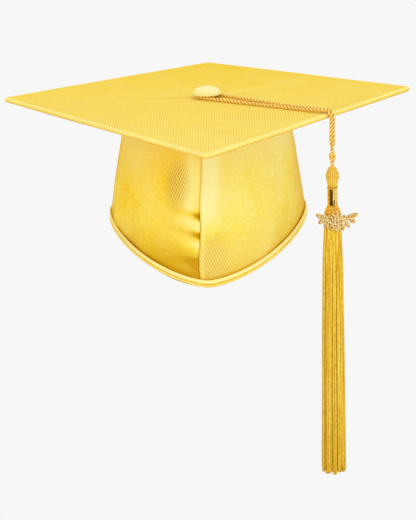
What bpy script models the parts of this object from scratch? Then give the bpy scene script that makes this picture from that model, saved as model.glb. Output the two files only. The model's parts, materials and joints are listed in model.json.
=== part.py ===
"""Graduation cap with a tassel: a stiff square board, a head-hugging skull cap, a covered button
and a corded tassel with a charm. Metres, +Z up. The wearer faces -Y, so the board's corners lie on
the X and Y axes. The origin is the middle of the head opening, at the height of the hem's sides."""
from math import atan2, cos, pi, radians, sin, sqrt

import bmesh
import bpy
from mathutils import Vector

GAP = 0.0003                 # between neighbouring pieces

# Board
BOARD_SIDE = 0.2413
BOARD_THICK = 0.0036
BOARD_TOP = 0.100            # height of the board's top face
COVER_CLOTH = 0.0004
BOARD_CORNER = 0.0042        # corner radius in plan
BOARD_EDGE = 0.0014          # rounding of the wrapped edge
SHANK_HOLE = 0.0019

# Skull cap: an ellipse that widens from the board down to the hem
CROWN_HALF = (0.065, 0.077)  # half width and half length under the board
HEM_HALF = (0.0825, 0.097)   # the same at the hem
FRONT_POINT = 0.034          # how far the hem dips at the forehead
BACK_DIP = 0.004
PANEL_CLOTH = 0.0008
LINING_CLOTH = 0.0005
SIDE_SEAM = radians(105)     # where the front panels meet the back panel
BINDING_HEIGHT = 0.0052
BINDING_CLOTH = 0.0006
CASING_HEIGHT = 0.012
CASING_CLOTH = 0.0005
ELASTIC_HEIGHT = 0.010
ELASTIC_THICK = 0.001
SWEATBAND_HEIGHT = 0.030

# Button, with heights above the board's top face
BUTTON_RADIUS = 0.0115
BUTTON_HEIGHT = 0.0086
BUTTON_WAIST = 0.0048        # height of its widest ring
BUTTON_LIP = 0.0032          # height of its flat underside, over the tassel's string
BUTTON_NECK = 0.0074         # radius of the neck that the string goes round
BUTTON_CLOTH = 0.0005
SHELL_WALL = 0.0008
PLATE_THICK = 0.0006
SHANK_RADIUS = 0.0016
WASHER_RADIUS = 0.0070

# Cord: one string that goes from the knot round the button and back
CORD = 0.0025                # diameter
CORD_RING = 0.0092           # radius of its loop round the button
LOOP_LEAVES = 0.30           # where its runs leave the loop, as a share of the radius
EDGE_SHARE = 0.572           # how far along the front right edge it crosses, from the front corner
EDGE_CLEAR = 0.0026          # from the board's faces to the string's middle where it bends over
BEND = 2 * CORD              # radius of that bend

# Tassel: lengths down from the board's top face
KNOT_TOP = 0.0300
BULB_TOP = 0.0416
BAND_TOP = 0.0600
SKIRT_TOP = 0.0740
SKIRT_END = 0.3090
BULB_RADIUS = 0.0052
BAND_RADIUS = 0.0040
NECK_RADIUS = 0.0030
CHARM_REACH = 0.0080         # from the tassel's axis to the middle of the charm's plate
CHARM_WIDTH = 0.0300
CHARM_TOP = 0.0802
CHARM_DEEP = 0.0142
CHARM_THICK = 0.0009
CHARM_PIVOT = 0.0770
HOOK_ASIDE = 0.0016           # how far right of the tassel's axis the hook and the charm hang
CHARM_EYE = 0.0019           # radius of the charm's own eye
WIRE = 0.00035               # radius of the eye's wire

HALF_DIAGONAL = BOARD_SIDE / sqrt(2)
BOARD_BOTTOM = BOARD_TOP - BOARD_THICK
SKULL_TOP = BOARD_BOTTOM - GAP
ALONG_EDGE = Vector((1, 1, 0)).normalized()     # along the front right edge
OUTWARD = Vector((1, -1, 0)).normalized()       # out of that edge
CROSSING = Vector((HALF_DIAGONAL * EDGE_SHARE, -HALF_DIAGONAL * (1 - EDGE_SHARE), 0))
HANG = CROSSING + OUTWARD * EDGE_CLEAR          # where the tassel hangs, in plan

for old in list(bpy.data.objects):
    bpy.data.objects.remove(old, do_unlink=True)


def new_collection(name):
    made = bpy.data.collections.new(name)
    bpy.context.scene.collection.children.link(made)
    return made


PARTS = new_collection("graduation_cap")
CUTTERS = new_collection("cutters")


def material(name, colour, roughness, metallic=0.0):
    made = bpy.data.materials.new(name)
    made.use_nodes = True
    shader = made.node_tree.nodes["Principled BSDF"]
    shader.inputs["Base Color"].default_value = (*colour, 1)
    shader.inputs["Roughness"].default_value = roughness
    shader.inputs["Metallic"].default_value = metallic
    return made


BOARD_SATIN = material("board_satin", (0.90, 0.62, 0.07), 0.38)
SKULL_SATIN = material("skull_satin", (0.86, 0.54, 0.03), 0.40)
BINDING_SATIN = material("binding_satin", (0.92, 0.66, 0.10), 0.35)
BUTTON_SATIN = material("button_satin", (0.93, 0.74, 0.20), 0.38)
STIFFENER = material("stiffener", (0.55, 0.54, 0.50), 0.80)
INTERLINING = material("interlining", (0.80, 0.78, 0.72), 0.90)
SWEATBAND_RIB = material("sweatband_rib", (0.82, 0.52, 0.06), 0.75)
ELASTIC = material("elastic", (0.85, 0.83, 0.78), 0.80)
BUTTON_PLASTIC = material("button_plastic", (0.80, 0.78, 0.70), 0.50)
STEEL = material("plated_steel", (0.60, 0.60, 0.62), 0.30, 1.0)
CORD_RAYON = material("cord_rayon", (0.83, 0.43, 0.03), 0.45)
TASSEL_RAYON = material("tassel_rayon", (0.87, 0.52, 0.04), 0.42)
GILT_METAL = material("gilt_metal", (0.90, 0.62, 0.16), 0.22, 1.0)


def add(name, data, finish, collection=PARTS):
    made = bpy.data.objects.new(name, data)
    data.materials.append(finish)
    return place(made, collection)


def place(piece, collection):
    """Link a piece into a collection; a cutter shows as a wire and isn't rendered."""
    collection.objects.link(piece)
    if collection is CUTTERS:
        piece.hide_render = True
        piece.display_type = "WIRE"
    return piece


def solidify(piece, thickness):
    """Thicken an open surface towards its inner side."""
    modifier = piece.modifiers.new("cloth", "SOLIDIFY")
    modifier.thickness = thickness
    modifier.offset = -1
    modifier.use_even_offset = True
    return piece


def boolean(piece, tool, operation="DIFFERENCE"):
    modifier = piece.modifiers.new(operation.lower(), "BOOLEAN")
    modifier.object = tool
    modifier.operation = operation
    modifier.solver = "EXACT"
    return piece


def strip(name, rows, thickness, finish, tube=False):
    """A cloth made from rows of points that run round the head, each row below the last, or on
    round the section. A tube joins its last row to its first."""
    count = len(rows[0])
    faces = []
    for i in range(len(rows) if tube else len(rows) - 1):
        top, low = i * count, (i + 1) % len(rows) * count
        faces += [(top + j, low + j, low + j + 1, top + j + 1) for j in range(count - 1)]
    mesh = bpy.data.meshes.new(name)
    mesh.from_pydata([p for row in rows for p in row], [], faces)
    mesh.shade_smooth()
    return solidify(add(name, mesh, finish), thickness)


def turned(name, profile, finish, steps=24, at=(0, 0, 0), ring=False, cloth=None):
    """A (radius, height) profile, listed from the top down its outer side, turned about Z."""
    mesh = bpy.data.meshes.new(name)
    edges = [(i, i + 1) for i in range(len(profile) - 1)]
    if ring:
        edges.append((len(profile) - 1, 0))
    mesh.from_pydata([(r, 0, z) for r, z in profile], edges, [])
    piece = add(name, mesh, finish)
    piece.location = at
    screw = piece.modifiers.new("turn", "SCREW")
    screw.steps = steps
    screw.render_steps = steps
    screw.use_merge_vertices = True
    screw.merge_threshold = 0.00001
    screw.use_smooth_shade = True
    if cloth:
        solidify(piece, cloth)
    return piece


def mesh_of(piece):
    """Turn a curve object into a welded mesh object with the same name and place."""
    depsgraph = bpy.context.evaluated_depsgraph_get()
    mesh = bpy.data.meshes.new_from_object(piece.evaluated_get(depsgraph))
    name, matrix, owner = piece.name, piece.matrix_world.copy(), piece.users_collection[0]
    bpy.data.objects.remove(piece, do_unlink=True)
    work = bmesh.new()
    work.from_mesh(mesh)
    bmesh.ops.remove_doubles(work, verts=work.verts, dist=0.000001)
    work.to_mesh(mesh)
    work.free()
    made = place(bpy.data.objects.new(name, mesh), owner)
    made.matrix_world = matrix
    return made


def flat(name, outlines, low, high, finish, collection=PARTS):
    """A plate between two heights from closed outlines in plan."""
    curve = bpy.data.curves.new(name, "CURVE")
    curve.dimensions = "2D"
    curve.fill_mode = "BOTH"
    curve.extrude = (high - low) / 2
    for outline in outlines:
        spline = curve.splines.new("POLY")
        spline.points.add(len(outline) - 1)
        for point, (x, y) in zip(spline.points, outline):
            point.co = (x, y, 0, 1)
        spline.use_cyclic_u = True
    plate = add(name, curve, finish, collection)
    plate.location.z = (low + high) / 2
    return plate


def tube(name, points, radius, finish):
    """A round cord or wire along a list of points."""
    curve = bpy.data.curves.new(name, "CURVE")
    curve.dimensions = "3D"
    curve.bevel_depth = radius
    curve.bevel_resolution = 2
    curve.use_fill_caps = True
    spline = curve.splines.new("POLY")
    spline.points.add(len(points) - 1)
    for point, place in zip(spline.points, points):
        point.co = (*place, 1)
    return add(name, curve, finish)


def smooth_line(knots, spacing):
    """Points a steady distance apart on a Catmull-Rom curve through the knots."""
    knots = [Vector(k) for k in knots]
    ends = [2 * knots[0] - knots[1], *knots, 2 * knots[-1] - knots[-2]]
    fine = []
    for a, b, c, d in zip(ends, ends[1:], ends[2:], ends[3:]):
        for i in range(24):
            t = i / 24
            fine.append(0.5 * (2 * b + (c - a) * t + (2 * a - 5 * b + 4 * c - d) * t ** 2
                               + (3 * b - a - 3 * c + d) * t ** 3))
    fine.append(knots[-1])
    length = sum((b - a).length for a, b in zip(fine, fine[1:]))
    count = max(2, round(length / spacing))
    line, walked, target = [fine[0]], 0.0, length / count
    for a, b in zip(fine, fine[1:]):
        step = (b - a).length
        while step > 0 and walked + step >= target * len(line) - 1e-9 and len(line) < count:
            line.append(a.lerp(b, (target * len(line) - walked) / step))
        walked += step
    return line + [fine[-1]]


def circle(radius, count=24):
    return [(radius * cos(2 * pi * i / count), radius * sin(2 * pi * i / count))
            for i in range(count)]


# ---------------------------------------------------------------- board

def rounded_square(inset, corner_steps=4):
    """The board's outline, a square on its corner, pulled in on all sides."""
    corner = max(BOARD_CORNER - inset, 0.001)
    middle = HALF_DIAGONAL - inset * sqrt(2) - corner * sqrt(2)
    outline = []
    for turn in range(4):
        for i in range(corner_steps + 1):
            angle = turn * pi / 2 - pi / 4 + i / corner_steps * pi / 2
            outline.append((middle * cos(turn * pi / 2) + corner * cos(angle),
                            middle * sin(turn * pi / 2) + corner * sin(angle)))
    return outline


def slab(name, inset, low, high, rounding, finish, collection=PARTS):
    """A plate of the board's outline with rounded rims."""
    plate = mesh_of(flat(name, [rounded_square(inset)], low, high, finish, collection))
    rim = plate.modifiers.new("rim", "BEVEL")
    rim.width = rounding
    rim.segments = 3
    rim.limit_method = "ANGLE"
    rim.angle_limit = radians(50)
    return plate


def board():
    middle = (BOARD_TOP + BOARD_BOTTOM) / 2
    above, below = BOARD_TOP + 0.01, BOARD_BOTTOM - 0.01
    hole = mesh_of(flat("shank_hole", [circle(SHANK_HOLE)], below, above, STEEL, CUTTERS))
    pocket = slab("cover_pocket", COVER_CLOTH, BOARD_BOTTOM + COVER_CLOTH,
                  BOARD_TOP - COVER_CLOTH, BOARD_EDGE - COVER_CLOTH, STEEL, CUTTERS)
    for name, low, high in (("board_cover_top", below, middle + GAP / 2),
                            ("board_cover_bottom", middle - GAP / 2, above)):
        cover = slab(name, 0, BOARD_BOTTOM, BOARD_TOP, BOARD_EDGE, BOARD_SATIN)
        half = mesh_of(flat(name + "_half", [rounded_square(-0.01)], low, high, STEEL, CUTTERS))
        for tool in (pocket, half, hole):
            boolean(cover, tool)
    core_inset = COVER_CLOTH + GAP
    core = slab("board_core", core_inset, BOARD_BOTTOM + core_inset, BOARD_TOP - core_inset,
                BOARD_EDGE - core_inset, STIFFENER)
    boolean(core, hole)


# ---------------------------------------------------------------- skull cap

def hem_height(phi):
    """Height of the hem at an angle from the front, positive towards +X."""
    side = min(1.0, sqrt(sin(phi) ** 2 + 0.0005))
    if cos(phi) > 0:
        return -FRONT_POINT * (1 - side) * (1 + side / 2)
    return -BACK_DIP * (1 - side)


def skull_point(phi, height, inset=0.0):
    """A point of the skull cap's wall, pulled in from its outer face."""
    down = (SKULL_TOP - height) / SKULL_TOP
    ease = down * (1.5 - 0.5 * down)
    half_x, half_y = (c + (h - c) * ease - inset for c, h in zip(CROWN_HALF, HEM_HALF))
    return (half_x * sin(phi), -half_y * cos(phi), height)


def arc(start, end, step_deg=4.4):
    count = max(2, round(abs(end - start) / radians(step_deg)))
    return [start + (end - start) * i / count for i in range(count + 1)]


def wall(name, start, end, top, above_hem, inset, cloth, finish, rows=8):
    """A cloth wall from a level top down to a height above the hem."""
    angles = arc(start, end)
    levels = [[top + (hem_height(a) + above_hem - top) * i / rows for a in angles]
              for i in range(rows + 1)]
    grid = [[skull_point(a, z, inset) for a, z in zip(angles, level)] for level in levels]
    return strip(name, grid, cloth, finish)


def band(name, start, end, section, cloth, finish, tube_section=False):
    """A strip along the hem; its section lists (height above the hem, inset) points."""
    angles = arc(start, end)
    rows = [[skull_point(a, hem_height(a) + h, inset) for a in angles] for h, inset in section]
    return strip(name, rows, cloth, finish, tube_section)


def skull_cap():
    seam = GAP / 2 / CROWN_HALF[1]
    lining_inset = PANEL_CLOTH + GAP
    lining_top = SKULL_TOP - 0.0016
    for side, start, end in (("right", seam, SIDE_SEAM - seam),
                             ("left", seam - SIDE_SEAM, -seam)):
        wall("front_panel_" + side, start, end, SKULL_TOP, 0.0010, 0, PANEL_CLOTH, SKULL_SATIN)
        wall("front_interlining_" + side, start + seam, end - seam, lining_top,
             BINDING_HEIGHT + 0.001, lining_inset, LINING_CLOTH, INTERLINING, rows=6)
    wall("back_panel", SIDE_SEAM + seam, 2 * pi - SIDE_SEAM - seam, SKULL_TOP,
         CASING_HEIGHT + GAP, 0, PANEL_CLOTH, SKULL_SATIN)

    outside = -GAP - BINDING_CLOTH
    inside = PANEL_CLOTH + GAP + BINDING_CLOTH
    band("hem_binding", seam - SIDE_SEAM, SIDE_SEAM - seam,
         [(BINDING_HEIGHT, outside), (0, outside), (0, inside), (BINDING_HEIGHT, inside)],
         BINDING_CLOTH, BINDING_SATIN)
    band_inset = inside + GAP
    band("sweatband", seam - radians(95), radians(95) - seam,
         [(0.001 + SWEATBAND_HEIGHT, band_inset), (0.001 + SWEATBAND_HEIGHT / 2, band_inset),
          (0.001, band_inset)], 0.0006, SWEATBAND_RIB)

    casing = (SIDE_SEAM + seam, 2 * pi - SIDE_SEAM - seam)
    outer = (PANEL_CLOTH - ELASTIC_THICK) / 2 - CASING_CLOTH - GAP
    inner = outer + ELASTIC_THICK + 2 * (CASING_CLOTH + GAP)
    band("elastic_casing", *casing,
         [(CASING_HEIGHT, outer), (0, outer), (0, inner), (CASING_HEIGHT, inner)],
         CASING_CLOTH, SKULL_SATIN, tube_section=True)
    room = (CASING_HEIGHT - ELASTIC_HEIGHT) / 2
    elastic_inset = outer + CASING_CLOTH + GAP
    band("back_elastic", *casing, [(CASING_HEIGHT - room, elastic_inset), (room, elastic_inset)],
         ELASTIC_THICK, ELASTIC)


def crown_disc():
    """The oval that closes the skull cap under the board."""
    half_x, half_y = (half - PANEL_CLOTH - GAP for half in CROWN_HALF)
    oval = [(half_x * cos(2 * pi * i / 48), half_y * sin(2 * pi * i / 48)) for i in range(48)]
    flat("crown_disc", [oval, circle(SHANK_HOLE)], SKULL_TOP - PANEL_CLOTH, SKULL_TOP,
         SKULL_SATIN)


# ---------------------------------------------------------------- button

def dome(inset, neck=True):
    """A mushroom profile from the apex, round the widest ring and under it to the neck."""
    wide = BUTTON_RADIUS - inset
    upper = [(wide * cos(radians(a)),
              BUTTON_WAIST + (BUTTON_HEIGHT - BUTTON_WAIST - inset) * sin(radians(a)))
             for a in range(90, 0, -15)]
    upper[0] = (0.0, upper[0][1])
    curl = BUTTON_WAIST - BUTTON_LIP - inset
    lower = [(wide - curl + curl * cos(radians(a)), BUTTON_WAIST - curl * sin(radians(a)))
             for a in range(0, 91, 30)]
    if neck:
        lower += [(BUTTON_NECK, BUTTON_LIP + inset), (BUTTON_NECK, GAP)]
    return upper + lower


def button():
    top = (0, 0, BOARD_TOP)
    turned("button_cover", dome(0) + [(0.006, GAP)], BUTTON_SATIN, at=top, cloth=BUTTON_CLOTH)
    turned("button_shell", dome(BUTTON_CLOTH + GAP, neck=False), BUTTON_PLASTIC, at=top,
           cloth=SHELL_WALL)
    plate = BUTTON_CLOTH + 2 * GAP
    washer("button_back_plate", BUTTON_NECK - BUTTON_CLOTH - GAP, plate, plate + PLATE_THICK, STEEL)
    head = plate + PLATE_THICK + GAP
    disc = -BOARD_THICK - GAP - PANEL_CLOTH
    washer_top = disc - GAP
    foot = washer_top - SHELL_WALL - GAP
    turned("button_rivet", [(0, head + 0.0008), (0.0036, head + 0.0008), (0.0036, head),
                            (SHANK_RADIUS, head), (SHANK_RADIUS, foot), (0.003, foot),
                            (0.003, foot - 0.0008), (0, foot - 0.0008)], STEEL, at=top, steps=20)
    washer("rivet_washer", WASHER_RADIUS, washer_top - SHELL_WALL, washer_top, STEEL)


def washer(name, radius, low, high, finish):
    turned(name, [(SHANK_HOLE, high), (radius, high), (radius, low), (SHANK_HOLE, low)], finish,
           at=(0, 0, BOARD_TOP), ring=True)


# ---------------------------------------------------------------- tassel

def leg(side, spread):
    """One run of the string over the board, from its loop to the drop. side is 1 for the far
    run and -1 for the near run, and spread is half the distance between them at the drop."""
    towards = HANG.normalized()
    across = Vector((-towards.y, towards.x, 0)) * side
    on_board = CORD / 2 + GAP
    start = LOOP_LEAVES * CORD_RING
    width = sqrt(CORD_RING ** 2 - start ** 2)
    points = []
    for share, bow in ((0.0, 0.0), (0.12, 0.0), (0.3, 0.0006), (0.5, 0.0010), (0.7, 0.0008),
                       (0.86, 0.0002)):
        along = start + (HANG.length - BEND - start) * share
        half = width + (spread - width) * share - bow
        rise = max(0.0, share - 0.7) / 0.3 * (EDGE_CLEAR - on_board)
        points.append(towards * along + across * half
                      + Vector((0, 0, BOARD_TOP + on_board + rise)))
    turn = ALONG_EDGE * side * spread
    for degree in (0, 30, 60, 90):
        back = BEND * (1 - sin(radians(degree)))
        drop = BEND * (1 - cos(radians(degree)))
        points.append(HANG - OUTWARD * back + turn + Vector((0, 0, BOARD_TOP + EDGE_CLEAR - drop)))
    return points


def cord_route(spread):
    """The string's route on the board: far run, loop round the button, near run."""
    towards = atan2(HANG.y, HANG.x)
    height = BOARD_TOP + CORD / 2 + GAP
    gap_half = atan2(sqrt(1 - LOOP_LEAVES ** 2), LOOP_LEAVES)
    loop = []
    for i in range(1, 8):
        angle = towards + gap_half + (2 * pi - 2 * gap_half) * i / 8
        loop.append((CORD_RING * cos(angle), CORD_RING * sin(angle), height))
    return leg(1, spread)[::-1] + loop + leg(-1, spread)


def cord():
    spread = (CORD + GAP) / 2
    line = smooth_line(cord_route(spread), 0.0038)
    down = Vector((0, 0, -CORD / 2))
    tube("tassel_cord_loop", [line[0] + down, *line, line[-1] + down], CORD / 2, CORD_RAYON)
    top = BOARD_TOP + EDGE_CLEAR - BEND - CORD / 2 - GAP
    for name, side in (("tassel_cord_drop_far", 1), ("tassel_cord_drop_near", -1)):
        start = HANG + ALONG_EDGE * side * spread
        run = [start + Vector((0, 0, top + (BOARD_TOP - KNOT_TOP + GAP - top) * i / 4))
               for i in range(5)]
        tube(name, run, CORD / 2, CORD_RAYON)


def hanging(name, profile, finish, steps=20):
    """A turned piece on the tassel's axis, with heights given down from the board's top face."""
    turned(name, [(r, -z) for r, z in profile], finish, steps, (HANG.x, HANG.y, BOARD_TOP))


def oval_profile(top, bottom, radius, count=10):
    half = (bottom - top) / 2
    return [(radius * sin(pi * i / count) if 0 < i < count else 0.0,
             top + half * (1 - cos(pi * i / count))) for i in range(count + 1)]


def tassel_head():
    hanging("tassel_knot", oval_profile(KNOT_TOP, BULB_TOP - GAP, 0.0029), CORD_RAYON)
    bulb = [(r, z) for r, z in oval_profile(BULB_TOP, BAND_TOP + 0.0012, BULB_RADIUS, 12)
            if z < BAND_TOP - 0.0014]
    hanging("tassel_bulb", bulb + [(0.0040, BAND_TOP - GAP), (NECK_RADIUS, BAND_TOP - GAP),
                                   (NECK_RADIUS, SKIRT_TOP), (0, SKIRT_TOP)], TASSEL_RAYON)
    ring = [(NECK_RADIUS + GAP, BAND_TOP), (BAND_RADIUS, BAND_TOP), (BAND_RADIUS, SKIRT_TOP),
            (NECK_RADIUS + GAP, SKIRT_TOP)]
    turned("tassel_band", [(r, -z) for r, z in ring], GILT_METAL, 24,
           (HANG.x, HANG.y, BOARD_TOP), ring=True)
    skirt = [(0, 0.0003), (0.0038, 0.0003), (0.0050, 0.0020), (0.0060, 0.0042), (0.0069, 0.0070),
             (0.0072, 0.0100), (0.0072, 0.0240), (0.0084, 0.0460), (0.0094, 0.1000),
             (0.0110, 0.2300), (0.0108, SKIRT_END - SKIRT_TOP), (0, SKIRT_END - SKIRT_TOP)]
    hanging("tassel_skirt", [(r, SKIRT_TOP + z) for r, z in skirt], TASSEL_RAYON, 24)


def charm_place(x, down, forward=CHARM_REACH):
    """A point in front of the tassel: x from the hook, down from the board's top face."""
    return Vector((HANG.x + HOOK_ASIDE + x, HANG.y - forward, BOARD_TOP - down))


def charm_hook():
    """A wire laid down the band that ends in a small upright ring for the charm."""
    ring_radius = 0.0014
    centre_down = CHARM_PIVOT - 0.0004
    lie = sqrt((BAND_RADIUS + GAP + WIRE) ** 2 - HOOK_ASIDE ** 2)
    points = [(lie, BAND_TOP + 0.004), (lie, BAND_TOP + 0.008), (lie, SKIRT_TOP - 0.0016),
              (lie + 0.0011, SKIRT_TOP - 0.0004)]
    for i in range(13):
        angle = radians(150 - 27 * i)
        points.append((CHARM_REACH + ring_radius * cos(angle),
                       centre_down - ring_radius * sin(angle)))
    tube("charm_hook", [charm_place(0, down, forward) for forward, down in points], WIRE,
         GILT_METAL)


def leaf(length, width, count=7):
    """A pointed leaf outline from its stalk at the origin along +X."""
    upper = [(length * i / count, width / 2 * sin(pi * i / count) ** 0.8)
             for i in range(count + 1)]
    return upper + [(x, -y) for x, y in upper[-2:0:-1]]


def charm():
    """A laurel spray: a bowed stem with paired leaves, and an eye on top to hang it by."""
    half = CHARM_WIDTH / 2
    middle = CHARM_TOP + CHARM_DEEP * 0.62

    def stem_point(share):
        return share * (half - 0.0048), middle + 0.0022 - 0.0052 * share ** 2

    body = charm_plate("charm", stem_outline(stem_point), 0)
    leaves = []
    for share in (-0.98, -0.66, -0.34, 0.0, 0.34, 0.66, 0.98):
        x, down = stem_point(share)
        for lean in (-1, 1):
            heading = radians(90 - 62 * share) if lean > 0 else radians(-90 + 48 * share)
            length = 0.0062 if lean > 0 else 0.0042
            leaves.append((x, down, heading, length))
    outlines = [[(x + px * cos(heading) - py * sin(heading),
                  -down + px * sin(heading) + py * cos(heading)) for px, py in leaf(length, 0.0029)]
                for x, down, heading, length in leaves]
    eye_low, stem_high = -(CHARM_PIVOT + 2 * CHARM_EYE), -stem_point(0)[1]
    outlines.append([(-0.0007, eye_low), (0.0007, eye_low), (0.0007, stem_high),
                     (-0.0007, stem_high)])
    for index, outline in enumerate(outlines):
        tool = charm_plate(f"charm_union_{index}", outline, 0.00004 * (index % 3 + 1), CUTTERS)
        boolean(body, tool, "UNION")
    bpy.ops.mesh.primitive_torus_add(
        major_radius=CHARM_EYE, minor_radius=WIRE, major_segments=20, minor_segments=8,
        location=charm_place(0, CHARM_PIVOT + CHARM_EYE), rotation=(pi / 2, 0, 0))
    eye = bpy.context.active_object
    eye.name = "charm_eye"
    for owner in list(eye.users_collection):
        owner.objects.unlink(eye)
    boolean(body, place(eye, CUTTERS), "UNION")


def stem_outline(stem_point, count=10, width=0.0016):
    shares = [-1 + 2 * i / count for i in range(count + 1)]
    upper = [(stem_point(s)[0], -stem_point(s)[1] + width / 2) for s in shares]
    lower = [(stem_point(s)[0], -stem_point(s)[1] - width / 2) for s in reversed(shares)]
    return upper + lower


def charm_plate(name, outline, thinner, collection=PARTS):
    """An upright plate that faces the front, from an outline in (x, height below the top)."""
    plate = flat(name, [outline], -CHARM_THICK / 2 + thinner, CHARM_THICK / 2 - thinner,
                 GILT_METAL, collection)
    plate.rotation_euler = (pi / 2, 0, 0)
    plate.location = (HANG.x + HOOK_ASIDE, HANG.y - CHARM_REACH, BOARD_TOP)
    bpy.context.view_layer.update()
    return mesh_of(plate)


board()
skull_cap()
crown_disc()
button()
cord()
tassel_head()
charm_hook()
charm()
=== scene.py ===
import json
import random
from math import atan2, cos, exp, hypot, inf, pi, radians, sin, sqrt

import bpy
from mathutils import Matrix, Vector, noise

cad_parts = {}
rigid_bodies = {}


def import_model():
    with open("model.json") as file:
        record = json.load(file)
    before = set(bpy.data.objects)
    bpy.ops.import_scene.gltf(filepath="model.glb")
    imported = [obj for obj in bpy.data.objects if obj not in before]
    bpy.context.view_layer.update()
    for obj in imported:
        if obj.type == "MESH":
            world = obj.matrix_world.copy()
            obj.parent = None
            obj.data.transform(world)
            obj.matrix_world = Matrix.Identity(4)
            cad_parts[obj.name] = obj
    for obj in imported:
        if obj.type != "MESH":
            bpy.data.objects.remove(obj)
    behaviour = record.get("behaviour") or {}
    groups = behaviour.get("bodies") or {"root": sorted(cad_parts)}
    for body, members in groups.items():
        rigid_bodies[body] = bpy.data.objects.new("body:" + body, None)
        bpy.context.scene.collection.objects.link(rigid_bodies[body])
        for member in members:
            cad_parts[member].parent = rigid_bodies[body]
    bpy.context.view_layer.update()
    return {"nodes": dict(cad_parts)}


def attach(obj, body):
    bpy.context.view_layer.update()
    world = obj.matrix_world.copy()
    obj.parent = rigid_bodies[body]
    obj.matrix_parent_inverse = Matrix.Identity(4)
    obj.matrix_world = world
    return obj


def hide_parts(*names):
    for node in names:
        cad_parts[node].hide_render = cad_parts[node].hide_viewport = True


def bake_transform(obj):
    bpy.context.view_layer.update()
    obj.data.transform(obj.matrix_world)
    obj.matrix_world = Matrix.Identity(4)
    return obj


for leftover in list(bpy.data.objects):
    bpy.data.objects.remove(leftover)

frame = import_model()

# The sizes of part.py that the looks follow, in metres.
GAP = 0.0003
BOARD_SIDE = 0.2413
BOARD_THICK = 0.0036
BOARD_TOP = 0.100
COVER_CLOTH = 0.0004
BOARD_CORNER = 0.0042
BOARD_EDGE = 0.0014
SHANK_HOLE = 0.0019
CROWN_HALF = (0.065, 0.077)
HEM_HALF = (0.0825, 0.097)
FRONT_POINT = 0.034
BACK_DIP = 0.004
PANEL_CLOTH = 0.0008
LINING_CLOTH = 0.0005
SIDE_SEAM = radians(105)
BINDING_HEIGHT = 0.0052
BINDING_CLOTH = 0.0006
CASING_HEIGHT = 0.012
CASING_CLOTH = 0.0005
ELASTIC_HEIGHT = 0.010
ELASTIC_THICK = 0.001
SWEATBAND_HEIGHT = 0.030
BUTTON_RADIUS = 0.0115
BUTTON_HEIGHT = 0.0086
BUTTON_LIP = 0.0032
BUTTON_NECK = 0.0074
BUTTON_CLOTH = 0.0005
CORD = 0.0025
CORD_RING = 0.0092
LOOP_LEAVES = 0.30
EDGE_SHARE = 0.572
EDGE_CLEAR = 0.0026
BEND = 2 * CORD
KNOT_TOP = 0.0300
BULB_TOP = 0.0416
BAND_TOP = 0.0600
SKIRT_TOP = 0.0740
SKIRT_END = 0.3090
BULB_RADIUS = 0.0052
BAND_RADIUS = 0.0040
NECK_RADIUS = 0.0030
CHARM_REACH = 0.0080
CHARM_WIDTH = 0.0300
CHARM_TOP = 0.0802
CHARM_DEEP = 0.0142
CHARM_PIVOT = 0.0770
CHARM_EYE = 0.0019
HOOK_ASIDE = 0.0016
WIRE = 0.00035

HALF_DIAGONAL = BOARD_SIDE / sqrt(2)
BOARD_BOTTOM = BOARD_TOP - BOARD_THICK
SKULL_TOP = BOARD_BOTTOM - GAP
ALONG_EDGE = Vector((1, 1, 0)).normalized()
OUTWARD = Vector((1, -1, 0)).normalized()
CROSSING = Vector((HALF_DIAGONAL * EDGE_SHARE, -HALF_DIAGONAL * (1 - EDGE_SHARE), 0))
HANG = CROSSING + OUTWARD * EDGE_CLEAR
TASSEL_AXIS = (HANG.x, HANG.y, BOARD_TOP)

LEAN = 0.0016          # how far the skull cap hangs over to the left at its hem
BOARD_WARP = 0.0048    # the side corners stand this much high, the front and back ones low
WALL_REACH = 0.085     # metres of cloth a radian round the skull cap's wall
HEM_REACH = 0.090      # and round its hem
RIB_PITCH = 0.0016     # from rib to rib of the sweatband's knit
SEED = 7


# ---------------------------------------------------------------- materials

def as_light(colour):
    """Three numbers from 0 to 255 as linear light. An output, or linear light, stays itself."""
    def linear(value):
        share = value / 255
        return share / 12.92 if share <= 0.04045 else ((share + 0.055) / 1.055) ** 2.4

    if isinstance(colour, tuple) and len(colour) == 3:
        return tuple(linear(value) for value in colour) + (1.0,)
    return colour


def add_node(tree, kind, inputs=(), **settings):
    """A node in a tree; its inputs are outputs to join it to, or plain values."""
    made = tree.nodes.new(kind)
    for key, value in settings.items():
        setattr(made, key, value)
    for key, value in dict(inputs).items():
        if isinstance(value, bpy.types.NodeSocket):
            tree.links.new(value, made.inputs[key])
        else:
            made.inputs[key].default_value = value
    return made


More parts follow.
